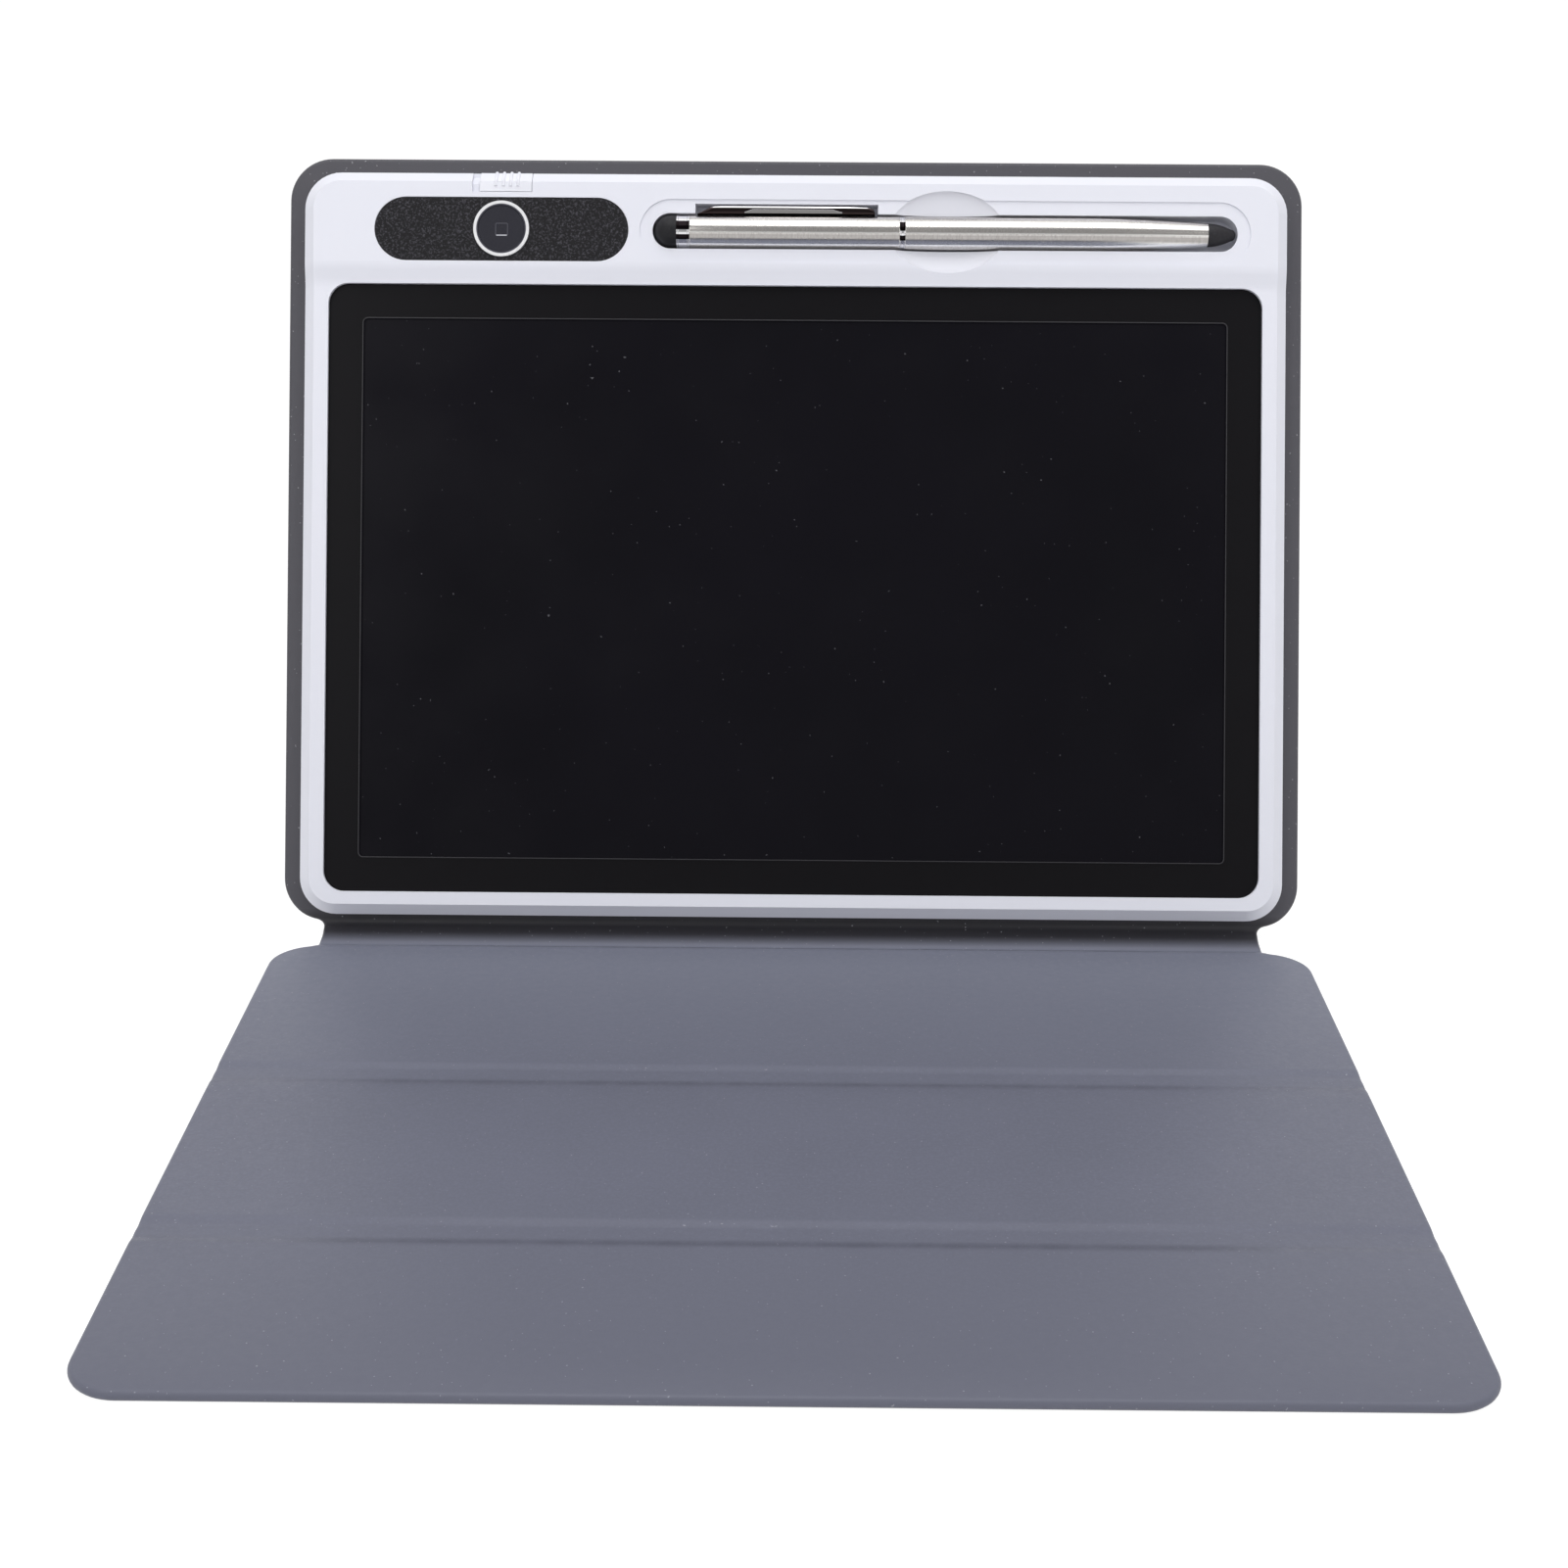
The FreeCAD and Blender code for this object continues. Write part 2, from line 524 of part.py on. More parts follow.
def rear_shell(tablet):
    """The flat back moulding with its rim and the screw holes."""
    outer = plate("0", BODY_MIDDLE, SHELL_BACK, "body_width", "body_length", "body_corner",
                  "parting_height")
    inner = plate("0", BODY_MIDDLE, SHELL_FLOOR, "(body_width - 2 * wall)", "(body_length - 2 * wall)",
                  "(body_corner - wall)", "parting_height")
    holes = [disc(x, y, "(%s - 1)" % SHELL_BACK, "(screw_radius + fit_gap)", "(rear_wall + 2)")
             for x, y in boss_places()]
    sinks = [disc(x, y, "(%s - 1)" % SHELL_BACK, "(screw_head_radius + fit_gap)", "(rear_wall / 2 + 1)")
             for x, y in boss_places()]
    node("rear_shell", cut(outer, inner, tray_opening(), *holes, *sinks), tablet)
    head_depth = "(rear_wall / 2)"
    screws = []
    for x, y in boss_places():
        head = disc(x, y, SHELL_BACK, "screw_head_radius", head_depth)
        shank = disc(x, y, SHELL_BACK, "screw_radius", "screw_length")
        screws.append(fuse(head, shank))
    node("shell_screws", group(*screws), tablet)


# ---------------------------------------------------------------- screen

def screen(tablet):
    """The pressure-sensitive screen: printed border, film, plate, foam and flex tail."""
    width, length = "(screen_width + 2 * screen_overlap)", "(screen_length + 2 * screen_overlap)"
    corner = "(screen_corner / 2)"
    mask_z = "(%s - mask)" % FRAME_ROOF
    film_z = "(%s - film)" % mask_z
    plate_z = "(%s - screen_plate)" % film_z
    border = plate("0", SCREEN_MIDDLE, mask_z, width, length, corner, "mask")
    active = plate("0", SCREEN_MIDDLE, "(%s - 1)" % mask_z, "active_width", "active_length",
                   "active_corner", "(mask + 2)")
    node("screen_border", cut(border, active), tablet)
    node("screen_film", plate("0", SCREEN_MIDDLE, film_z, width, length, corner, "film"), tablet)
    node("screen_plate", plate("0", SCREEN_MIDDLE, plate_z, width, length, corner, "screen_plate"),
         tablet)
    foam_height = "(%s - %s)" % (plate_z, SHELL_FLOOR)
    foam = plate("0", SCREEN_MIDDLE, SHELL_FLOOR, width, length, corner, foam_height)
    hollow = plate("0", SCREEN_MIDDLE, "(%s - 1)" % SHELL_FLOOR, "(%s - 2 * foam_width)" % width,
                   "(%s - 2 * foam_width)" % length, corner, "(%s + 2)" % foam_height)
    # the flex tail leaves through a gap in the foam
    tail_gap = box("board_x", SCREEN_TOP, "(%s - 1)" % SHELL_FLOOR, "(flex_width + 2)",
                   "(2 * foam_width + 6)", "(%s + 2)" % foam_height)
    node("foam_frame", cut(foam, hollow, tail_gap), tablet)
    tail_z = "(%s - flex_thickness)" % plate_z
    node("flex_tail", box("board_x", "(%s + screen_overlap)" % SCREEN_TOP, tail_z, "flex_width",
                          "flex_length", "flex_thickness"), tablet)


# ---------------------------------------------------------------- header controls

def clear_button(tablet):
    """The round button, its bright ring and the dark inlay round them."""
    seat = "(%s - inlay_thickness)" % HEADER_FACE
    inlay = pill("button_x", "header_line", seat, "inlay_length", "inlay_width", "inlay_thickness")
    opening = disc("button_x", "header_line", "(%s - 1)" % seat, "(ring_outer + fit_gap)",
                   "(inlay_thickness + 2)")
    node("button_inlay", cut(inlay, opening), tablet)
    ring_height = "(inlay_thickness + ring_proud)"
    ring = disc("button_x", "header_line", seat, "ring_outer", ring_height)
    bore = disc("button_x", "header_line", "(%s - 1)" % seat, "ring_inner", "(%s + 2)" % ring_height)
    node("button_ring", cut(ring, bore), tablet)
    cap_base = "(%s - fit_gap - cap_flange_thickness)" % HEADER_ROOF
    cap_top = "(%s + cap_proud)" % HEADER_FACE
    cap = disc("button_x", "header_line", cap_base, "(ring_inner - cap_gap)",
               "(%s - %s)" % (cap_top, cap_base))
    flange = disc("button_x", "header_line", cap_base, "cap_flange", "cap_flange_thickness")
    stem_base = "(%s + switch_height + button_travel + fit_gap)" % BOARD_TOP
    stem = disc("button_x", "header_line", stem_base, "stem_radius", "(%s - %s)" % (cap_base, stem_base))
    node("clear_button", fuse(cap, flange, stem), tablet)


def lock_slider(tablet):
    """The lock slider in the bevelled upper edge, with four grip ribs."""
    x = "(lock_x + lock_slot_width / 2 - fit_gap - lock_slider_width / 2)"
    length = "(lock_slot_length - fit_gap)"
    base = "(%s - lock_slot_depth + fit_gap)" % HEADER_FACE
    block = box(x, "(%s - %s / 2)" % (BODY_TOP, length), base, "lock_slider_width", length,
                "(lock_slot_depth + 1)")
    slider = common(bezel_blank(), block)
    ribs = []
    for place in (-1.5, -0.5, 0.5, 1.5):
        rib = doc.addObject("Part::Box", "Rib")
        rib.Placement = Placement(Vector(), Rotation(Vector(1, 0, 0), -45))
        bind(rib, Length="lock_rib_width", Width="(bevel * sqrt(2) - 0.9)",
             Height="(2 * lock_rib_height)",
             x="%s + %s * lock_rib_pitch - lock_rib_width / 2" % (x, place),
             y="%s - bevel + 0.3 - lock_rib_height / sqrt(2)" % BODY_TOP,
             z="%s - 0.3 - lock_rib_height / sqrt(2)" % HEADER_FACE)
        ribs.append(rib)
    node("lock_slider", fuse(slider, *ribs), tablet)


# ---------------------------------------------------------------- electronics

BOARD_BASE = "(%s + board_stand)" % SHELL_FLOOR
BOARD_TOP = "(%s + board_thickness)" % BOARD_BASE


def electronics(tablet):
    """Circuit board, its two switches, the coin cell in its tray and the contacts."""
    board_y = "(%s - wall - 1 - board_length / 2)" % BODY_TOP
    board = box("board_x", board_y, BOARD_BASE, "board_width", "board_length", "board_thickness")
    stands = [disc("board_x + %d * (board_width / 2 - 3)" % side, board_y, SHELL_FLOOR, "1.5",
                   "board_stand") for side in (-1, 1)]
    node("circuit_board", fuse(board, *stands), tablet)
    node("clear_switch", box("button_x", "header_line", BOARD_TOP, "switch_side", "switch_side",
                             "switch_height"), tablet)
    node("lock_switch", box("lock_x", "(%s - wall - 4)" % BODY_TOP, BOARD_TOP, "1.4 * switch_side",
                            "4", "switch_height"), tablet)
    chips = [box("board_x + %d" % step, "(header_line - 2)", BOARD_TOP, "3.2", "2.4", "1.1")
             for step in (4, 10)]
    node("driver_chips", group(*chips), tablet)
    tray_z = "(%s + fit_gap)" % SHELL_FLOOR
    tray_y = "(%s - tray_length / 2)" % BODY_TOP
    height = "(tray_floor + cell_thickness + fit_gap)"
    block = box("tray_x", tray_y, tray_z, "tray_width", "tray_length", height)
    cell_y = "(%s - wall - cell_radius)" % BODY_TOP
    well = disc("tray_x", cell_y, "(%s + tray_floor)" % tray_z, "(cell_radius + fit_gap)", "cell_radius")
    node("battery_tray", cut(block, well), tablet)
    node("coin_cell", disc("tray_x", cell_y, "(%s + tray_floor)" % tray_z, "cell_radius",
                           "cell_thickness"), tablet)
    contact_x = "(tray_x + tray_width / 2 + fit_gap + 1.2)"
    contacts = [box(contact_x, "(%s - wall - %d)" % (BODY_TOP, place), SHELL_FLOOR, "1.6", "3",
                    "(board_stand + board_thickness + 0.8)") for place in (8, 14)]
    node("battery_contacts", group(*contacts), tablet)


# ---------------------------------------------------------------- pen

def pen(tablet):
    """The stylus, lying along X in its trough with the soft end to the left."""
    y, z = "pen_line", PEN_HEIGHT
    ring_x = "(%s + pen_dome)" % PEN_START
    upper_x = "(%s + pen_ring)" % ring_x
    band_x = "(%s + pen_upper)" % upper_x
    lower_x = "(%s + pen_band)" % band_x
    taper_x = "(%s + pen_lower - pen_taper)" % lower_x
    nib_x = "(%s + pen_taper)" % taper_x
    bore = "(pen_radius - tube_wall)"

    ball = bind(doc.addObject("Part::Sphere", "Ball"), Radius="pen_radius", x="%s + pen_radius" % PEN_START,
                y=y, z=z)
    tip = rod("%s + pen_radius" % PEN_START, y, z, "pen_radius", "(pen_dome - pen_radius)")
    plug = rod(ring_x, y, z, "(%s - fit_gap)" % bore, "(pen_ring + 4)")
    left = box("%s" % PEN_START, y, "%s - pen_radius" % z, "(2 * pen_radius)", "(2 * pen_radius)",
               "(2 * pen_radius)")
    node("pen_dome", fuse(common(ball, left), tip, plug), tablet)
    node("pen_ring", cut(rod(ring_x, y, z, "pen_radius", "pen_ring"),
                         rod("%s - 1" % ring_x, y, z, bore, "(pen_ring + 2)")), tablet)
    node("pen_upper_barrel", cut(rod(upper_x, y, z, "pen_radius", "pen_upper"),
                                 rod("%s - 1" % upper_x, y, z, bore, "(pen_upper + 2)")), tablet)
    node("pen_band", cut(rod(band_x, y, z, "(pen_radius + 0.05)", "pen_band"),
                         rod("%s - 1" % band_x, y, z, "core_radius", "(pen_band + 2)")), tablet)
    node("pen_core", rod("%s - core_length / 2" % band_x, y, z, "(core_radius - fit_gap / 2)",
                         "core_length"), tablet)
    straight = rod(lower_x, y, z, "pen_radius", "(pen_lower - pen_taper)")
    taper = rod(taper_x, y, z, "pen_radius", "pen_taper", "pen_front_radius")
    inner = rod("%s - 1" % lower_x, y, z, bore, "(pen_lower - pen_taper + 1)")
    inner_taper = rod(taper_x, y, z, bore, "(pen_taper + 0.01)", "(pen_front_radius - tube_wall)")
    node("pen_lower_barrel", cut(fuse(straight, taper), fuse(inner, inner_taper)), tablet)
    shank = rod("%s - 6" % nib_x, y, z, "(pen_front_radius - tube_wall - fit_gap)", "6.01")
    cone = rod(nib_x, y, z, "(pen_front_radius - 0.15)", "pen_nib", "nib_tip")
    node("pen_nib", fuse(shank, cone), tablet)
    clip_x = "(%s + clip_from_end)" % PEN_START
    clip_y = "(pen_line + pen_radius + clip_stand_off + clip_thickness / 2)"
    blade = box("%s + clip_length / 2" % clip_x, clip_y, "%s - clip_width / 2" % z, "clip_length",
                "clip_thickness", "clip_width")
    root = box("%s + 2" % clip_x, "(pen_line + pen_radius + (clip_stand_off + clip_thickness) / 2)",
               "%s - clip_width / 2" % z, "4", "(clip_stand_off + clip_thickness + 0.6)", "clip_width")
    ball_end = box("%s + clip_length - 1.5" % clip_x,
                   "(pen_line + pen_radius + (clip_stand_off + clip_thickness) / 2 + 0.3)",
                   "%s - clip_width / 2" % z, "2", "(clip_stand_off + clip_thickness - 0.6)",
                   "clip_width")
    barrel_space = rod("%s - 5" % clip_x, y, z, "pen_radius", "(clip_length + 10)")
    node("pen_clip", cut(fuse(blade, root, ball_end), barrel_space), tablet)


# ---------------------------------------------------------------- build, check and write

tablet_frame, spine_frame = world_frames()
back_leaf(tablet_frame)
cover()
spine(spine_frame)
rear_shell(tablet_frame)
front_bezel(tablet_frame)
screen(tablet_frame)
clear_button(tablet_frame)
lock_slider(tablet_frame)
electronics(tablet_frame)
pen(tablet_frame)
doc.recompute()

for item in doc.Objects:
    if "Invalid" in item.State or "Error" in item.State:
        raise RuntimeError("%s (%s) failed: %s" % (item.Name, item.Label, item.State))
for label, item in NODES.items():
    if item.Shape.isNull() or not item.Shape.isValid() or not item.Shape.Solids:
        raise RuntimeError("%s has no valid solid" % label)

os.makedirs("parts", exist_ok=True)
for label, item in NODES.items():
    item.Shape.exportStep(os.path.join("parts", label + ".step"))
    print("%-22s %d solid(s) %9.1f mm3" % (label, len(item.Shape.Solids), item.Shape.Volume))
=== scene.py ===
import math

import bmesh
import bpy
from mathutils import Matrix, Vector

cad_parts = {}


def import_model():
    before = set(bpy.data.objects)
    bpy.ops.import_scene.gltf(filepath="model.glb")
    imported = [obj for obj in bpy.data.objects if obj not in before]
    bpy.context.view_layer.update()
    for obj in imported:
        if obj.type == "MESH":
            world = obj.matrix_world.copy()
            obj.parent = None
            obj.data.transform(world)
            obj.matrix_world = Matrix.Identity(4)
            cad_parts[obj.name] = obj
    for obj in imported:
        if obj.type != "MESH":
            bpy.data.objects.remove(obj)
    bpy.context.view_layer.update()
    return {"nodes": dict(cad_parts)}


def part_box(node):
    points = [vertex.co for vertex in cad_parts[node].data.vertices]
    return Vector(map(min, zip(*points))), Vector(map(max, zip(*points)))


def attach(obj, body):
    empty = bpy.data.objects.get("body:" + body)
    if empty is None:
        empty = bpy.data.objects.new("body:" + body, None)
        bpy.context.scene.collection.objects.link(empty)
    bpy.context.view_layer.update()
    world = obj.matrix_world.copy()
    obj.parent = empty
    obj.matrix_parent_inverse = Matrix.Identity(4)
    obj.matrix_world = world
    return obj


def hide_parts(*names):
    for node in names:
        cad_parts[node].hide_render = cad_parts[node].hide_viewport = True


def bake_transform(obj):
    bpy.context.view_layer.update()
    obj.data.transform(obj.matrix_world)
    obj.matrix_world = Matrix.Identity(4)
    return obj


# LCD writing tablet in a three-fold leather folio.  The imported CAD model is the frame; this script adds
# the continuous leather over the four folds, the fine surface pieces, the materials and the studio.

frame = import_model()
nodes = frame["nodes"]

MM = 0.001

# the tablet's own frame: u up along the screen, n out of it, from the back leaf's outer lower edge
LEAN = math.radians(20.5)
U = Vector((0.0, math.sin(LEAN), math.cos(LEAN)))
N = Vector((0.0, -math.cos(LEAN), math.sin(LEAN)))
back_low, back_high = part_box("back_skin")
LEAF_LENGTH = 188.6
CORNER = Vector((0.0, back_high.y - LEAF_LENGTH * MM * U.y, back_low.z)) / MM

FRAME_FACE, HEADER_FACE = 8.5, 9.5
HEADER_LINE, PEN_LINE = 169.6, 169.5
BUTTON_X, PEN_X = -71.8, 36.5
SCREEN_MIDDLE = 82.0
CREASES = (27.7, -39.7)
CHANNELS = (26.6, -39.7)                    # the middles of the pressed hollows along the creases
SPINE_REAR, SPINE_FRONT = 0.1015, 0.0945    # where the spine meets the back leaf and the cover, Y in m


def tablet_point(x, u, n):
    """A point of the tablet's frame (mm) in the row frame (m)."""
    return (Vector((x, 0, 0)) + CORNER + U * u + N * n) * MM


# ---------------------------------------------------------------- materials

def linear(*rgb):
    """Display values 0 to 255 as a linear colour."""
    out = []
    for part in rgb:
        part /= 255
        out.append(part / 12.92 if part <= 0.04045 else ((part + 0.055) / 1.055) ** 2.4)
    return (*out, 1.0)


class Shader:
    """A principled material with helpers for its texture nodes, all in object coordinates."""

    def __init__(self, name, color, roughness, metallic=0.0, **sockets):
        self.material = bpy.data.materials.new(name)
        self.material.use_nodes = True
        self.tree = self.material.node_tree
        self.principled = self.tree.nodes["Principled BSDF"]
        self.color = color
        self.set(self.principled, **{"Base Color": color, "Roughness": roughness, "Metallic": metallic})
        self.set(self.principled, **sockets)
        self.coordinates = self.tree.nodes.new("ShaderNodeTexCoord").outputs["Object"]
        self.normal = None

    @staticmethod
    def set(node, **sockets):
        for key, number in sockets.items():
            node.inputs[key.replace("_", " ")].default_value = number

    def add(self, kind, **settings):
        node = self.tree.nodes.new("ShaderNode" + kind)
        for key, setting in settings.items():
            setattr(node, key, setting)
        return node

    def link(self, source, target):
        self.tree.links.new(source, target)

    def noise(self, size, detail=2.0, stretch=(1, 1, 1), roughness=0.5):
        """Noise whose features are about size mm; stretch below 1 draws them out along that axis."""
        mapping, node = self.add("Mapping"), self.add("TexNoise")
        self.set(mapping, Scale=stretch)
        self.set(node, Scale=1 / (size * MM), Detail=detail, Roughness=roughness)
        self.link(self.coordinates, mapping.inputs["Vector"])
        self.link(mapping.outputs["Vector"], node.inputs["Vector"])
        return node.outputs["Fac"]

    def cells(self, size):
        """Soft pebbles about size mm wide."""
        node = self.add("TexVoronoi", feature="SMOOTH_F1")
        self.set(node, Scale=1 / (size * MM))
        self.link(self.coordinates, node.inputs["Vector"])
        return node.outputs["Distance"]

    def span(self, value, low, high, to_low, to_high):
        """value from low..high to to_low..to_high, clamped."""
        node = self.add("MapRange")
        self.set(node, **{"From Min": low, "From Max": high, "To Min": to_low, "To Max": to_high})
        self.link(value, node.inputs["Value"])
        return node.outputs["Result"]

    def math(self, operation, a, b=0.0):
        node = self.add("Math", operation=operation)
        for socket, number in zip(node.inputs, (a, b)):
            if isinstance(number, (int, float)):
                socket.default_value = number
            else:
                self.link(number, socket)
        return node.outputs[0]

    def along(self, axis):
        """One object coordinate, in metres."""
        apart = self.add("SeparateXYZ")
        self.link(self.coordinates, apart.inputs[0])
        return apart.outputs[axis]

    def height(self):
        """The distance up the tablet, in metres from its lower end."""
        dot = self.add("VectorMath", operation="DOT_PRODUCT")
        self.link(self.coordinates, dot.inputs[0])
        dot.inputs[1].default_value = U
        return self.math("SUBTRACT", dot.outputs["Value"], CORNER.dot(U) * MM)

    def band(self, value, middle, half, soft, strength=1.0):
        """strength where value is within half of middle, fading out over soft."""
        apart = self.math("ABSOLUTE", self.math("SUBTRACT", value, middle))
        return self.span(apart, half, half + soft, strength, 0.0)

    def tint(self, factor, color):
        """Mix another colour in where factor is 1."""
        mix = self.add("Mix", data_type="RGBA")
        current = self.principled.inputs["Base Color"]
        if current.is_linked:
            self.link(current.links[0].from_socket, mix.inputs[6])
        else:
            mix.inputs[6].default_value = self.color
        mix.inputs[7].default_value = color
        self.link(factor, mix.inputs[0])
        self.link(mix.outputs[2], current)

    def rough(self, value):
        """Let value drive the roughness."""
        self.link(value, self.principled.inputs["Roughness"])

    def bump(self, height, strength, depth):
        """Raise the surface by up to depth mm where height is 1; more than one adds up."""
        node = self.add("Bump")
        self.set(node, Strength=strength, Distance=depth * MM)
        self.link(height, node.inputs["Height"])
        if self.normal is not None:
            self.link(self.normal, node.inputs["Normal"])
        self.normal = node.outputs["Normal"]
        self.link(self.normal, self.principled.inputs["Normal"])


def leather(name, color, shade, light, grain, across=None):
    """Pressed polyurethane leather: fine pebbles, soft mottling and a few bright flecks.  across draws what
    changes over the folio, which for the lining is mostly painted light and shade."""
    m = Shader(name, color, 0.5, Specular_IOR_Level=0.45)
    m.tint(m.span(m.noise(38, 3), 0.35, 0.7, 0.0, 0.55), shade)
    m.tint(m.span(m.noise(0.75, 2), 0.45, 0.8, 0.0, 0.5), light)
    if across:
        across(m)
    m.tint(m.span(m.noise(0.55, 0), 0.825, 0.84, 0.0, 0.5), linear(180, 180, 186))
    m.rough(m.span(m.noise(1.6, 3), 0.3, 0.7, 0.40, 0.52))
    m.bump(m.cells(0.62), grain, 0.06)
    m.bump(m.noise(5.5, 2), 0.22, 0.08)
    return m.material


def lining_tone_and_painted_light(m):
    """The lining over the folio, Y and Z in m: a lighter rear and a darker front of the cover, which are
    painted light and shade; the dark tone of the back leaf's border, which over the spine is painted shade;
    the painted shadow in the fold under the tablet; and painted shade lines along the folds."""
    m.set(m.principled, Specular_IOR_Level=0.3)
    y = m.along("Y")
    # painted light and shade: the cover lighter towards its rear and darker towards its front
    m.tint(m.span(y, 0.02, 0.09, 0.0, 1.0), linear(117, 120, 135))
    m.tint(m.span(y, -0.09, -0.02, 1.0, 0.0), linear(101, 103, 117))
    # darker over the spine and onto the back leaf; on the spine this is painted shade under the tablet
    m.tint(m.span(y, SPINE_FRONT, SPINE_REAR, 0.0, 1.0), linear(79, 78, 84))
    # painted shadow in the fold under the tablet, below the height of the tablet's foot
    under_tablet = m.span(m.along("Z"), 0.0055, 0.0075, 1.0, 0.0)
    m.tint(m.math("MULTIPLY", m.span(y, 0.0965, 0.1005, 0.0, 0.75), under_tablet), linear(34, 33, 37))
    beside = m.math("ABSOLUTE", m.along("X"))
    uneven = m.math("MULTIPLY", m.span(m.noise(9, 2, (1, 0, 0)), 0.35, 0.6, 0.45, 1.0),
                    m.span(beside, 0.082, 0.096, 1.0, 0.3))
    # painted shade lines: along one wall of each crease's hollow and at the cover's rear fold, uneven along
    # their length
    lines = [(middle * MM - 0.0038, 0.0004, 0.0018, 0.34) for middle in CHANNELS]
    lines.append((0.0951, 0.0001, 0.0004, 0.6))
    for line, half, soft, strength in lines:
        m.tint(m.math("MULTIPLY", m.band(y, line, half, soft, strength), uneven), linear(66, 67, 79))


def plastic(name, color, roughness):
    """Moulded plastic with a very fine spark-eroded texture."""
    m = Shader(name, color, roughness, Specular_IOR_Level=0.4)
    m.rough(m.span(m.noise(9, 2), 0.3, 0.7, roughness - 0.04, roughness + 0.05))
    m.bump(m.noise(0.28, 2), 0.10, 0.02)
    m.bump(m.noise(30, 1), 0.08, 0.05)
    return m.material


def brushed(name, color, dark, roughness, stretch=(1, 1, 1), size=0.16, painted_reflections=()):
    """Metal with fine brush lines, and painted reflections: bands of colour that stand in for what it
    mirrors, (height, half, fade, strength, colour), in mm up the tablet."""
    m = Shader(name, color, roughness, metallic=1.0)
    lines = m.noise(size, 3, stretch)
    m.tint(m.span(lines, 0.35, 0.7, 0.0, 0.55), dark)
    # painted reflections: colour bands by height up the tablet
    for middle, half, fade, strength, reflection_color in painted_reflections:
        m.tint(m.band(m.height(), middle * MM, half * MM, fade * MM, strength), reflection_color)
    m.rough(m.span(lines, 0.3, 0.7, roughness - 0.06, roughness + 0.1))
    m.bump(lines, 0.16, 0.012)
    return m.material


def textured_black(name, color, fleck, size, strength):
    """Black moulding with a sparkling fine texture."""
    m = Shader(name, color, 0.55, Specular_IOR_Level=0.25)
    m.tint(m.span(m.noise(size, 2, roughness=0.7), 0.52, 0.66, 0.0, 0.9), fleck)
    m.rough(m.span(m.noise(size * 1.3, 2), 0.3, 0.7, 0.42, 0.62))
    m.bump(m.cells(size), strength, 0.05)
    return m.material


LINING = leather("lining_leather", linear(107, 109, 124), linear(102, 104, 118), linear(118, 121, 137), 0.30,
                 lining_tone_and_painted_light)
SKIN = leather("skin_leather", linear(92, 92, 101), linear(86, 86, 95), linear(103, 104, 114), 0.42)
WHITE = plastic("white_moulding", linear(229, 230, 239), 0.33)
SLIDER = plastic("white_slider", linear(232, 233, 241), 0.30)
# the steel's painted reflections: a dark line, a light line, a grey band and a painted white highlight
STEEL = brushed("pen_steel_brushed", linear(214, 211, 208), linear(176, 172, 168), 0.17, (1, 0.2, 0.2), 0.22,
                painted_reflections=((PEN_LINE + 1.75, 0.05, 0.15, 0.5, linear(120, 116, 112)),
                       (PEN_LINE - 0.75, 0.08, 0.15, 0.8, linear(246, 244, 242)),
                       (PEN_LINE - 1.75, 0.4, 0.25, 0.6, linear(140, 136, 134)),
                       (PEN_LINE - 3.0, 0.3, 0.3, 1.0, linear(255, 255, 255))))


def ring_plating_with_painted_shade():
    """Bright plating, with painted shade on the inner chamfer beside the cap."""
    m = Shader("ring_silver", linear(246, 246, 248), 0.2, 0.3)
    apart = m.add("VectorMath", operation="DISTANCE")
    m.link(m.coordinates, apart.inputs[0])
    apart.inputs[1].default_value = tablet_point(BUTTON_X, HEADER_LINE, HEADER_FACE + 0.6)
    # painted shade on the inner chamfer
    m.tint(m.span(apart.outputs["Value"], 0.00600, 0.00615, 1.0, 0.0), linear(74, 74, 84))
    m.rough(m.span(m.noise(1.2, 2), 0.3, 0.7, 0.16, 0.26))
    m.bump(m.noise(0.5, 2), 0.02, 0.01)
    return m.material


def plating_with_painted_reflections(name, bright, dark, painted_reflections):
    """Mirror plating with painted dark reflections: bands (height, half) in mm up the tablet."""
    m = Shader(name, bright, 0.12, 1.0)
    for middle, half in painted_reflections:
        m.tint(m.band(m.height(), middle * MM, half * MM, 0.12 * MM), dark)
    m.rough(m.span(m.noise(1.5, 2), 0.3, 0.7, 0.08, 0.2))
    m.bump(m.noise(1.2, 2), 0.02, 0.01)
    return m.material


RING = ring_plating_with_painted_shade()
# the dark bands on the pen's plating, on the clip and on the clip's panel are painted reflections
PEN_PLATING = plating_with_painted_reflections("pen_plating", linear(236, 235, 237), linear(26, 22, 24),
                             ((PEN_LINE + 0.9, 1.1), (PEN_LINE - 1.9, 0.5)))
CLIP = plating_with_painted_reflections("clip_plating", linear(240, 238, 238), linear(52, 44, 44), ((PEN_LINE + 4.6, 1.05),))
PANEL = plating_with_painted_reflections("clip_panel", linear(206, 203, 202), linear(120, 114, 112), ((PEN_LINE + 4.15, 0.12),))
INLAY = textured_black("inlay_texture", linear(14, 13, 17), linear(72, 71, 78), 0.5, 0.6)
CAP = textured_black("cap_texture", linear(34, 34, 43), linear(42, 42, 51), 0.25, 0.15)
RUBBER = textured_black("dome_rubber", linear(24, 24, 28), linear(32, 32, 36), 0.3, 0.2)


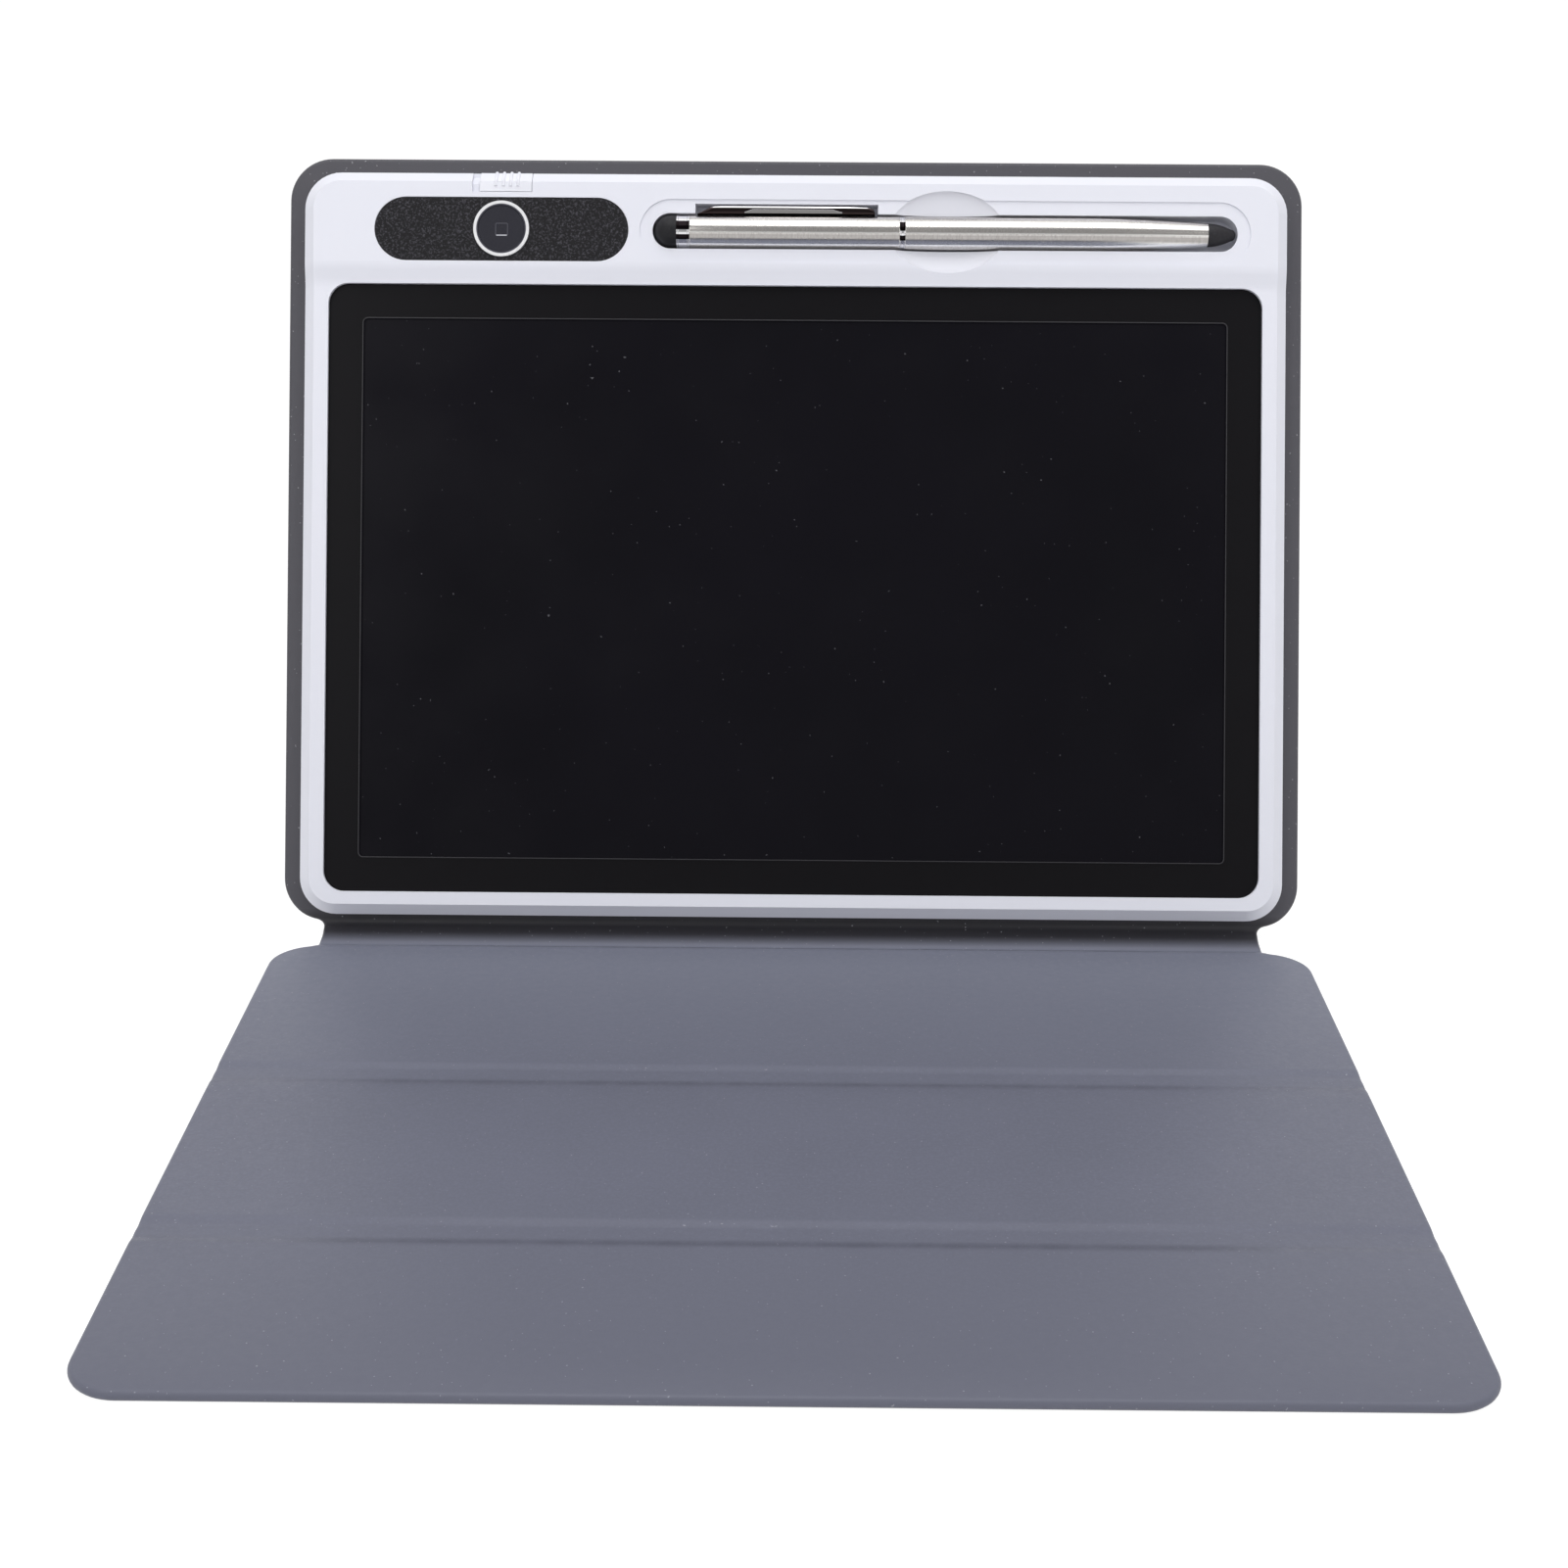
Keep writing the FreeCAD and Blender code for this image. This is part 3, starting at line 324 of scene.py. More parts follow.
def film():
    """The clear film over the panel: nearly black, with the odd grain of dust."""
    m = Shader("panel_film", linear(11, 10, 16), 0.22, Specular_IOR_Level=0.14)
    m.tint(m.span(m.noise(60, 2), 0.3, 0.75, 0.0, 0.6), linear(16, 14, 22))
    m.tint(m.span(m.noise(0.6, 0), 0.868, 0.878, 0.0, 0.6), linear(110, 110, 116))
    m.rough(m.span(m.noise(24, 3), 0.3, 0.7, 0.18, 0.27))
    m.bump(m.noise(45, 1), 0.05, 0.05)
    return m.material


def plain(name, color, roughness, metallic=0.0, size=1.2, **sockets):
    """Inner pieces: a slight variation and texture."""
    m = Shader(name, color, roughness, metallic, **sockets)
    m.tint(m.span(m.noise(size * 6, 2), 0.35, 0.7, 0.0, 0.25), tuple(c * 0.8 for c in color[:3]) + (1.0,))
    m.bump(m.noise(size, 2), 0.12, 0.03)
    return m.material


FINISHES = {
    ("front_bezel", "rear_shell", "battery_tray"): WHITE,
    ("lock_slider",): SLIDER,
    ("screen_border",): plain("border_print", linear(17, 16, 19), 0.3, Specular_IOR_Level=0.12),
    ("screen_film",): film(),
    ("screen_plate",): plain("plate_black", linear(34, 33, 36), 0.5),
    ("button_inlay",): INLAY,
    ("pen_ring", "pen_band"): PEN_PLATING,
    ("pen_clip",): CLIP,
    ("button_ring",): RING,
    ("clear_button",): CAP,
    ("pen_upper_barrel", "pen_lower_barrel"): STEEL,
    ("pen_dome",): RUBBER,
    ("pen_nib",): textured_black("nib_plastic", linear(34, 33, 37), linear(50, 49, 54), 0.3, 0.1),
    ("pen_core",): plain("core_plastic", linear(40, 40, 43), 0.6),
    ("back_board",): plain("fibreboard", linear(150, 146, 138), 0.85, size=0.5),
    ("cover_inner_board", "cover_middle_board", "cover_outer_board"):
        plain("cover_board", linear(58, 58, 61), 0.8, size=0.5),
    ("back_magnets", "cover_magnets"): brushed("magnet_plating", linear(196, 196, 198),
                                               linear(170, 170, 172), 0.3),
    ("adhesive_sheet", "foam_frame"): plain("foam_tape", linear(206, 205, 200), 0.95, size=0.35),
    ("shell_screws",): brushed("screw_steel", linear(170, 170, 172), linear(120, 120, 122), 0.3),
    ("flex_tail",): plain("flex_polyimide", linear(176, 112, 38), 0.3),
    ("circuit_board",): plain("solder_mask", linear(28, 92, 52), 0.35, size=0.6),
    ("clear_switch", "lock_switch"): brushed("switch_tin", linear(200, 200, 202), linear(160, 160, 164),
                                             0.3),
    ("driver_chips",): plain("chip_resin", linear(34, 34, 36), 0.6, size=0.3),
    ("coin_cell",): brushed("cell_nickel", linear(205, 205, 208), linear(176, 176, 180), 0.24),
    ("battery_contacts",): brushed("spring_brass", linear(208, 172, 96), linear(170, 136, 70), 0.25),
}
for names, finish in FINISHES.items():
    for name in names:
        node = nodes[name]
        if not node.material_slots:
            node.data.materials.append(finish)
        for entry in node.material_slots:
            entry.material = finish


# ---------------------------------------------------------------- making pieces

SHARP = 38                                  # degrees


def piece_of(name, mesh, *finishes, sharp=None):
    """A smooth-shaded object from a bmesh, with sharp edges above an angle in degrees."""
    bmesh.ops.recalc_face_normals(mesh, faces=mesh.faces)
    data = bpy.data.meshes.new(name)
    mesh.to_mesh(data)
    mesh.free()
    for polygon in data.polygons:
        polygon.use_smooth = True
    if sharp:
        data.set_sharp_from_angle(angle=math.radians(sharp))
    for finish in finishes:
        data.materials.append(finish)
    piece = bpy.data.objects.new(name, data)
    bpy.context.scene.collection.objects.link(piece)
    return piece


def loft(mesh, rings, closed=True):
    """Skin over rings of points (tablet frame, mm), with flat ends if closed."""
    rows = [[mesh.verts.new(tablet_point(*point)) for point in ring] for ring in rings]
    for one, two in zip(rows, rows[1:]):
        for i in range(len(one)):
            j = (i + 1) % len(one)
            mesh.faces.new((one[i], one[j], two[j], two[i]))
    if closed:
        mesh.faces.new(rows[0][::-1])
        mesh.faces.new(rows[-1])


def slab(x, top, under):
    """A closed ring of points at x between two (u, n) profiles."""
    return [(x, u, n) for u, n in top] + [(x, u, n) for u, n in reversed(under)]


def mounted(piece, body, slot, *replaced):
    """Let a piece ride on a body, in place of the named nodes; slot is not used."""
    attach(piece, body)
    if replaced:
        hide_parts(*replaced)
    return piece


# ---------------------------------------------------------------- continuous leather

WIDTH, NECK, ROUND = 250.0, 230.0, 10.5     # leaf and neck widths, corner radius
FILLETS = (2.4, 3.0)                        # where the neck meets the leaf and the cover
LEAF = 2.2                                  # finished thickness
EDGE = 0.95                                 # how far the turned edge rounds in
FOLD_A = Vector((103.992, 3.214))           # the two fold lines, (Y, Z)
FOLD_B = Vector((95.45, 1.1))
INSET = 1.15                                # from a fold line to its leaf
CHORD = (FOLD_A - FOLD_B).length
GAP = CHORD + 2 * INSET
COVER = LEAF_LENGTH + GAP                   # where the cover starts, measured along the folio
END = COVER + LEAF_LENGTH
COVER_REAR = LEAF_LENGTH / 2


def arc(cx, cs, radius, start, stop, steps, inward=False):
    """Outline samples on an arc: (x, s, normal x, normal s)."""
    for i in range(steps + 1):
        angle = start + (stop - start) * i / steps
        nx, ns = math.cos(angle), math.sin(angle)
        if inward:
            yield cx - radius * nx, cs - radius * ns, nx, ns
        else:
            yield cx + radius * nx, cs + radius * ns, nx, ns


def neck_arcs(edge, radius, side):
    """The leaf's rounded corner and the small fillet that leads into the neck; side is +1 for the
    back leaf's lower edge and -1 for the cover's rear edge."""
    cx, cs = WIDTH / 2 - ROUND, edge - side * ROUND
    across, reach = NECK / 2 + radius - cx, ROUND + radius
    along = math.sqrt(reach ** 2 - across ** 2)
    meet = math.atan2(along, across)
    corner = list(arc(cx, cs, ROUND, 0, side * meet, 14))
    fillet = list(arc(NECK / 2 + radius, cs + side * along, radius, side * meet, 0, 8, inward=True))
    return corner + fillet[1:]


def outline():
    """Samples of the folio's right-hand edge from the leaf's top to the cover's front."""
    half = WIDTH / 2
    samples = list(arc(half - ROUND, ROUND, ROUND, -math.pi / 2, 0, 14))
    for s in range(20, 175, 14):
        samples.append((half, float(s), 1, 0))
    samples += neck_arcs(LEAF_LENGTH, FILLETS[0], 1)
    rear = neck_arcs(COVER, FILLETS[1], -1)
    rear.reverse()
    low, high = samples[-1][1], rear[0][1]
    steps = max(2, int((high - low) / 0.4))
    samples += [(NECK / 2, low + (high - low) * i / steps, 1, 0) for i in range(1, steps)]
    samples += rear
    stations = set()
    for crease in CREASES:
        middle = COVER + COVER_REAR - crease
        stations.update(middle + k * 0.35 for k in range(-19, 17))
    places = (COVER + ROUND + 4 + 9.0 * k for k in range(18))
    stations.update(place for place in places if place < END - 12)
    samples += [(half, s, 1, 0) for s in sorted(stations)]
    samples += list(arc(half - ROUND, END - ROUND, ROUND, 0, math.pi / 2, 14))
    return samples


def smooth_keys(keys, s):
    """Catmull-Rom through (s, Vector) keys."""
    for i in range(len(keys) - 1):
        if s <= keys[i + 1][0]:
            break
    s0, p0 = keys[i]
    s1, p1 = keys[i + 1]
    before = keys[i - 1] if i > 0 else (2 * s0 - s1, 2 * p0 - p1)
    after = keys[i + 2] if i + 2 < len(keys) else (2 * s1 - s0, 2 * p1 - p0)
    t, width = (s - s0) / (s1 - s0), s1 - s0
    m0 = (p1 - before[1]) * (width / (s1 - before[0]))
    m1 = (after[1] - p0) * (width / (after[0] - s0))
    return (p0 * (2 * t ** 3 - 3 * t ** 2 + 1) + m0 * (t ** 3 - 2 * t ** 2 + t)
            + p1 * (-2 * t ** 3 + 3 * t ** 2) + m1 * (t ** 3 - t ** 2))


def leaf_side(s, n):
    point = CORNER + U * (LEAF_LENGTH - s) + N * n
    return Vector((point.y, point.z))


def fold_keys():
    """The lining's and the skin's course over the two fold lines: (s, point) keys."""
    down = (FOLD_B - FOLD_A).normalized()
    up = Vector((-down.y, down.x))
    if up.y < 0:
        up = -up
    inward = (Vector((U.y, U.z)) + down).normalized()
    a, b = LEAF_LENGTH + INSET, LEAF_LENGTH + INSET + CHORD

    def spine(t, lift):
        return FOLD_A + down * t + up * lift

    top = [(a - INSET - 6, leaf_side(a - INSET - 6, LEAF)), (a - INSET - 3, leaf_side(a - INSET - 3, LEAF)),
           (a - INSET - 1.3, leaf_side(a - INSET - 1.3, LEAF)), (a, FOLD_A + inward * 1.5),
           (a + 2.6, spine(2.6, 0.86)), (a + 4.4, spine(4.4, 0.84)), (b - 1.5, spine(CHORD - 1.5, 0.82)),
           (b - 0.2, FOLD_B + Vector((0.2, 0.80))), (b + 0.5, Vector((FOLD_B.x - 0.5, 1.92))),
           (b + 1.4, Vector((FOLD_B.x - 1.4, LEAF))), (b + 4, Vector((FOLD_B.x - 4, LEAF))),
           (b + 7, Vector((FOLD_B.x - 7, LEAF)))]
    skin = [(a - INSET - 6, leaf_side(a - INSET - 6, 0)), (a - INSET - 3, leaf_side(a - INSET - 3, 0)),
            (a - INSET - 0.6, leaf_side(a - INSET - 0.6, 0.02)), (a + 0.2, FOLD_A - inward * 0.82),
            (a + 2.1, Vector((101.95, 1.22))), (a + 3.3, Vector((100.75, 0.36))),
            (a + 4.4, Vector((99.55, 0.04))), (a + 5.5, Vector((98.35, 0.26))),
            (b - 1.9, Vector((97.2, 0.62))), (b, Vector((FOLD_B.x, 0.36))),
            (b + 1.6, Vector((FOLD_B.x - 1.6, 0.02))),
            (b + 4, Vector((FOLD_B.x - 4, 0.0))), (b + 7, Vector((FOLD_B.x - 7, 0.0)))]
    return top, skin


TOP_KEYS, SKIN_KEYS = fold_keys()


def channel(y, depth, half, wall):
    """How far a surface dips along the two creases: flat-bottomed channels with sloping walls."""
    dip = 0.0
    for middle in CHANNELS:
        rise = (abs(y - middle) - (half - wall)) / wall
        if rise < 1:
            dip += depth * (0.5 + 0.5 * math.cos(math.pi * max(rise, 0.0)))
    return dip


def section(s):
    """The lining's and the skin's (Y, Z) at s, in mm."""
    if s < TOP_KEYS[1][0]:
        return leaf_side(s, LEAF), leaf_side(s, 0)
    if s > TOP_KEYS[-2][0]:
        y = COVER + COVER_REAR - s
        return Vector((y, LEAF - channel(y, 0.45, 5.4, 3.4))), Vector((y, channel(y, 0.3, 1.6, 1.5)))
    return smooth_keys(TOP_KEYS, s), smooth_keys(SKIN_KEYS, s)


RIM = [(EDGE * (1 - math.cos(a)), 0.5 + 0.5 * math.sin(a))
       for a in (math.radians(-90 + 180 * k / 10) for k in range(11))]
TURN = 3                                    # above this step of the rim the lining's leather shows


def leather_strip(name, start, stop, closed_start=False, closed_end=False):
    """One stretch of the folio's leather, with its turned edges, between two places along it."""
    samples = [p for p in OUTLINE if start - 1e-6 <= p[1] <= stop + 1e-6]
    if not closed_start and samples[0][1] > start + 1e-6:
        samples.insert(0, (samples[0][0], start, 1, 0))
    if not closed_end and samples[-1][1] < stop - 1e-6:
        samples.append((samples[-1][0], stop, 1, 0))
    mesh = bmesh.new()
    loops = []
    for x, s, nx, ns in samples:
        sides = []
        for sign in (1, -1):
            column = []
            for inset, height in RIM:
                place = s - inset * ns
                top, skin = section(place)
                point = skin + (top - skin) * height
                column.append(mesh.verts.new((sign * (x - inset * nx) * MM, point.x * MM, point.y * MM)))
            sides.append(column)
        loops.append(sides)
    count = len(RIM)
    for (right, left), (next_right, next_left) in zip(loops, loops[1:]):
        for k in range(count - 1):
            for face in (mesh.faces.new((right[k], right[k + 1], next_right[k + 1], next_right[k])),
                         mesh.faces.new((left[k + 1], left[k], next_left[k], next_left[k + 1]))):
                face.material_index = int(k >= TURN)
        mesh.faces.new((right[-1], left[-1], next_left[-1], next_right[-1])).material_index = 1
        mesh.faces.new((left[0], right[0], next_right[0], next_left[0]))
    for closed, (right, left) in ((closed_start, loops[0]), (closed_end, loops[-1])):
        if closed:
            for k in range(count - 1):
                face = mesh.faces.new((right[k], left[k], left[k + 1], right[k + 1]))
                face.material_index = int(k >= TURN)
    piece = piece_of(name, mesh, SKIN, LINING)
    return piece


OUTLINE = outline()
SPINE_MIDDLE = LEAF_LENGTH + GAP / 2
INNER_CUT = COVER + 34.0
MIDDLE_CUT = COVER + COVER_REAR - sum(CREASES) / 2

leaf = leather_strip("leaf_leather", 0.0, 146.0, closed_start=True)
lower = leather_strip("lower_fold_leather", 146.0, SPINE_MIDDLE)
upper = leather_strip("upper_fold_leather", SPINE_MIDDLE, INNER_CUT)
rear = leather_strip("rear_crease_leather", INNER_CUT, MIDDLE_CUT)
front = leather_strip("front_crease_leather", MIDDLE_CUT, END, closed_end=True)


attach(leaf, "tablet")
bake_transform(lower)
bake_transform(upper)
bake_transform(rear)
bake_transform(front)
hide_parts("back_skin", "back_lining")
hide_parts("spine_strip", "spine_fold_lower")
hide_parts("spine_fold_upper", "cover_inner_skin", "cover_inner_lining")
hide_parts("cover_middle_skin", "cover_middle_lining")
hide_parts("cover_outer_skin", "cover_outer_lining")


# ---------------------------------------------------------------- fine surface pieces

def rounded_loop(half_x, half_u, radius, steps=10):
    """A rounded rectangle's corner points about the origin."""
    points = []
    for cx, cu, start in ((half_x, half_u, 0), (-half_x, half_u, 90), (-half_x, -half_u, 180),
                          (half_x, -half_u, 270)):
        ox, ou = cx - math.copysign(radius, cx), cu - math.copysign(radius, cu)
        for i in range(steps + 1):
            angle = math.radians(start + 90 * i / steps)
            points.append((ox + radius * math.cos(angle), ou + radius * math.sin(angle)))
    return points


def outline_frame(name, centre, height, half, radius, width, rise, finish, body, slot):
    """A thin raised line along a rounded rectangle on the tablet's face."""
    mesh = bmesh.new()
    rings = []
    for out, lift in ((0.5, 0.0), (0.32, 1.0), (-0.32, 1.0), (-0.5, 0.0)):
        grow = out * width
        loop = rounded_loop(half[0] + grow, half[1] + grow, max(radius + grow, 0.02))
        rings.append([(centre[0] + x, centre[1] + u, height + lift * rise) for x, u in loop])
    loft(mesh, rings, closed=False)
    mounted(piece_of(name, mesh, finish), body, slot)


# the panel's active area shows as a hairline under the film, and the button has a plain square
outline_frame("active_outline", (0, SCREEN_MIDDLE), 8.0 + 0.005, (105.65, 66.0), 1.2, 0.22, 0.012,
              plain("hairline", linear(42, 41, 46), 0.4), "tablet", "screen_film")
MARK_X, MARK_LINE, MARK_HALF = BUTTON_X + 0.1, HEADER_LINE - 0.2, 1.45
outline_frame("button_icon", (MARK_X, MARK_LINE), HEADER_FACE + 0.45, (MARK_HALF, MARK_HALF), 0.2, 0.16, 0.02,
              plain("button_print", linear(74, 74, 84), 0.45), "clear_button", "button_black")


def button_bar():
    """The brighter lower side of the button's square."""
    mesh = bmesh.new()
    profile = ((-0.14, 0), (-0.09, 0.035), (0.09, 0.035), (0.14, 0))
    loft(mesh, [[(x, MARK_LINE - MARK_HALF + along, HEADER_FACE + 0.46 + rise) for along, rise in profile]
                for x in (MARK_X - 1.3, MARK_X + 1.3)])
    mounted(piece_of("button_icon_base", mesh, plain("button_print_light", linear(180, 180, 188), 0.45),
                     sharp=SHARP), "clear_button", "button_black")


# the stylus, turned about its axis; the places along it are counted from its round end
PEN_HEIGHT, PEN_RADIUS, PEN_LENGTH = 7.75, 4.0, 142.1
PEN_START = PEN_X - PEN_LENGTH / 2
RING_AT, UPPER_AT, BAND_AT, LOWER_AT, NIB_AT, TIP_AT = 5.5, 8.7, 60.0, 61.3, 135.1, PEN_LENGTH
TAPER_LENGTH, TAPER_DROP, TAPER_POWER = 28.0, 1.05, 1.55


def lathe(name, profile, finish, slot, replaced):
    """A turned piece of the pen: profile is (distance along the pen, radius)."""
    mesh = bmesh.new()
    turns = [2 * math.pi * i / 72 for i in range(72)]
    loft(mesh, [[(PEN_START + along, PEN_LINE + radius * math.sin(turn), PEN_HEIGHT + radius * math.cos(turn))
                 for turn in turns] for along, radius in profile])
    mounted(piece_of(name, mesh, finish, sharp=SHARP), "pen", slot, replaced)


def eased(start, end, radius, edge=0.14, steps=4):
    """A cylinder's profile with rounded ends."""
    turns = [math.pi / 2 * k / steps for k in range(steps + 1)]
    rising = sorted((start + edge * (1 - math.cos(a)), radius - edge * (1 - math.sin(a))) for a in turns)
    falling = sorted((end - edge * (1 - math.cos(a)), radius - edge * (1 - math.sin(a))) for a in turns)
    return [(start, radius - 3 * edge)] + rising + falling + [(end, radius - 3 * edge)]


def tapered(to_nib):
    """The lower barrel's radius at a distance from its nib end."""
    return PEN_RADIUS - TAPER_DROP * max(0.0, 1 - to_nib / TAPER_LENGTH) ** TAPER_POWER


def nib_profile():
    """The plastic nib: a rounded bullet."""
    base, end, steps = 2.82, 1.4, 14
    profile = [(NIB_AT, 2.3), (NIB_AT, 2.72), (NIB_AT + 0.1, base)]
    profile += [(NIB_AT + 0.1 + 5.7 * k / steps, base - (base - end) * (k / steps) ** 1.9)
                for k in range(1, steps + 1)]
    profile += [(TIP_AT - 1.2 + 1.19 * math.sin(a), end * math.cos(a))
                for a in (math.radians(15 * k) for k in range(1, 6))]
    return profile + [(TIP_AT, 0.05)]


def pen():
    """The pen's turned pieces."""
    ring = (eased(RING_AT, RING_AT + 0.45, PEN_RADIUS, 0.1)
            + eased(RING_AT + 0.5, UPPER_AT - 0.5, PEN_RADIUS - 0.07, 0.06)
            + eased(UPPER_AT - 0.45, UPPER_AT, PEN_RADIUS, 0.1))
    band = (eased(BAND_AT, BAND_AT + 0.25, PEN_RADIUS, 0.08)
            + eased(BAND_AT + 0.3, LOWER_AT - 0.3, PEN_RADIUS - 0.12, 0.05)
            + eased(LOWER_AT - 0.25, LOWER_AT, PEN_RADIUS, 0.08))
    lower = [point for point in eased(LOWER_AT, NIB_AT, PEN_RADIUS) if point[0] < LOWER_AT + 1]
    lower += [(NIB_AT - TAPER_LENGTH + TAPER_LENGTH * k / 16, tapered(TAPER_LENGTH * (1 - k / 16)))
              for k in range(16)]
    lower += [(NIB_AT - 0.02, tapered(0)), (NIB_AT, tapered(0) - 0.03), (NIB_AT, 2.4)]
    lathe("pen_end_ring", ring, PEN_PLATING, "pen_chrome", "pen_ring")
    lathe("pen_upper_tube", eased(UPPER_AT, BAND_AT, PEN_RADIUS), STEEL, "pen_steel", "pen_upper_barrel")
    lathe("pen_middle_band", band, PEN_PLATING, "pen_chrome", "pen_band")
    lathe("pen_lower_tube", lower, STEEL, "pen_steel", "pen_lower_barrel")
    lathe("pen_tip", nib_profile(), FINISHES[("pen_nib",)], "pen_plastic", "pen_nib")


def clip():
    """The bent clip: a rounded bar that rises from the ring and curls back to the barrel at its end,
    with a pressed panel on its side."""
    left, right = -24.0, 19.4
    low = PEN_LINE + PEN_RADIUS + 0.08
    path = [(left, 0, 0.12), (left + 0.9, 0, 0.55), (left + 2.0, 0, 1.15), (left + 3.2, 0.02, 1.85),
            (left + 4.2, 0.04, 2.08), (left + 6.0, 0.05, 2.14), (-2.0, 0.06, 2.16), (right - 6, 0.06, 2.12),
            (right - 2.0, 0.04, 2.0), (right - 0.9, 0.03, 1.75), (right - 0.3, 0.02, 1.3), (right, 0.02, 0.7)]
    mesh = bmesh.new()
    rings = []
    for x, lift, rise in path:
        ring = []
        for i in range(24):
            angle = 2 * math.pi * i / 24
            c, w = (math.copysign(abs(part) ** 0.6, part) for part in (math.cos(angle), math.sin(angle)))
            ring.append((x, low + lift + rise / 2 + rise / 2 * c, 8.2 + 1.3 * w))
        rings.append(ring)
    loft(mesh, rings)
    mounted(piece_of("bent_clip", mesh, CLIP, sharp=SHARP), "pen", "pen_chrome", "pen_clip")
    mesh = bmesh.new()
    base = low + 0.12
    loft(mesh, [[(x, base, 9.3), (x, base + 0.1, 9.56), (x, base + top - 0.12, 9.62), (x, base + top, 9.52),
                 (x, base + top, 9.2), (x, base, 9.2)]
                for x, top in ((-12.4, 0.45), (-11.6, 0.7), (-10.4, 1.15), (9.0, 1.15), (10.4, 0.7),
                               (11.4, 0.45))])
    mounted(piece_of("clip_panel", mesh, PANEL, sharp=SHARP), "pen", "pen_chrome")


pen()
clip()

TOP_EDGE, BEVEL = 183.8, 2.6
SLOT = (-79.05, -64.35)                     # the slider's slot, X
CAP_LENGTH, CAP_GAP, CAP_PROUD = 12.7, 0.12, 0.06
CAP_FOOT = TOP_EDGE - 5.0                   # the cap's lower edge
RIB_FOOT = TOP_EDGE - BEVEL - 1.1


def edge_profile(depth, start):
    """The header face from start up and the bevel at its top, sunk by depth: (u, n) points."""
    turn = depth * math.tan(math.radians(22.5))
    return [(start, HEADER_FACE - depth), (TOP_EDGE - BEVEL - turn, HEADER_FACE - depth),
            (TOP_EDGE - depth, HEADER_FACE - BEVEL - turn), (TOP_EDGE - depth, HEADER_FACE - BEVEL - 0.4)]


def moulded(name, mesh, finish, body, *replaced):
    """A moulded white piece whose edges are crisp but rounded."""
    piece = mounted(piece_of(name, mesh, finish, sharp=SHARP), body, "white_plastic", *replaced)
    bevel = piece.modifiers.new("edges", "BEVEL")
    bevel.width, bevel.segments, bevel.limit_method = 0.00008, 2, "ANGLE"
    bevel.angle_limit = math.radians(30)
    bevel.harden_normals = True


def slider():
    """The lock slider's cap over the bevel with its four ribs, and the slot's floor under it."""
    mesh = bmesh.new()
    high = SLOT[1] - CAP_GAP
    low = high - CAP_LENGTH
    inner = edge_profile(0.72, CAP_FOOT)
    ends = ((0, 0.16), (0.05, 0.05), (0.16, 0))
    sections = [(low + along, shrink) for along, shrink in ends]
    sections += [(high - along, shrink) for along, shrink in reversed(ends)]
    loft(mesh, [slab(x, edge_profile(shrink - CAP_PROUD, CAP_FOOT + shrink), inner)
                for x, shrink in sections])
    # the ribs lie across the bevel and stand a little proud of the upper edge
    base = edge_profile(0.05, RIB_FOOT)
    for step in (-2.7, -0.9, 0.9, 2.7):
        middle = (low + high) / 2 + 0.3 + step
        loft(mesh, [slab(middle + side, edge_profile(-CAP_PROUD - lift, RIB_FOOT), base)
                    for side, lift in ((-0.42, 0), (-0.26, 0.28), (0.0, 0.36), (0.26, 0.28), (0.42, 0))])
    moulded("slider_cap", mesh, SLIDER, "lock_slider", "lock_slider")
    mesh = bmesh.new()
    top, under = (edge_profile(depth, TOP_EDGE - 5.12) for depth in (0.95, 1.1))
    loft(mesh, [slab(x, top, under) for x in SLOT])
    moulded("slider_slot_floor", mesh, WHITE, "tablet")


slider()
button_bar()


# ---------------------------------------------------------------- studio

class Nodes:
    """Shorthand for the node trees of the world and the floor; a string names an output to link."""

    def __init__(self, owner, output):
        owner.use_nodes = True
        self.tree = owner.node_tree
        self.tree.nodes.clear()
        self.output = self.tree.nodes.new(output)

    def add(self, kind, *sources, operation=None, **sockets):
        node = self.tree.nodes.new("ShaderNode" + kind)
        if operation:
            node.operation = operation
        for key, number in sockets.items():
            node.inputs[key.replace("_", " ")].default_value = number
        for socket, source in sources:
            self.tree.links.new(source, node.inputs[socket])
        return node.outputs

    def seen(self, kind):
        """1 for camera rays and rays of the other kind."""
        path = self.add("LightPath")
        return self.add("Math", (0, path["Is Camera Ray"]), (1, path[kind]), operation="MAXIMUM")[0]

    def mixed(self, factor, one, two):
        return self.add("MixShader", ("Fac", factor), (1, one), (2, two))[0]

    def finish(self, surface):
        self.tree.links.new(surface, self.output.inputs["Surface"])


def world():
    """Even white light; metal also sees the unlit half of the studio, on the camera's side of the set."""
    sky = bpy.data.worlds.new("studio")
    bpy.context.scene.world = sky
    nodes = Nodes(sky, "ShaderNodeOutputWorld")
    light = nodes.add("Background", Color=(1, 1, 1, 1), Strength=0.47)[0]
    white = nodes.add("Background", Color=(1, 1, 1, 1))[0]
    direction = nodes.add("TexCoord")["Generated"]
    apart = nodes.add("SeparateXYZ", (0, direction))
    toward, above = (nodes.add("MapRange", ("Value", apart[axis]), From_Min=start, From_Max=end)["Result"]
                     for axis, start, end in (("Y", -0.12, -0.26), ("Z", 0.10, 0.19)))
    dark = nodes.add("Math", (0, toward), (1, above), operation="MULTIPLY")[0]
    level = nodes.add("MapRange", ("Value", dark), To_Min=1.0, To_Max=0.36)["Result"]
    gloss = nodes.add("Background", ("Strength", level), Color=(1, 1, 1, 1))[0]
    mirrored = nodes.mixed(nodes.add("LightPath")["Is Glossy Ray"], light, gloss)
    nodes.finish(nodes.mixed(nodes.seen("Is Transmission Ray"), mirrored, white))


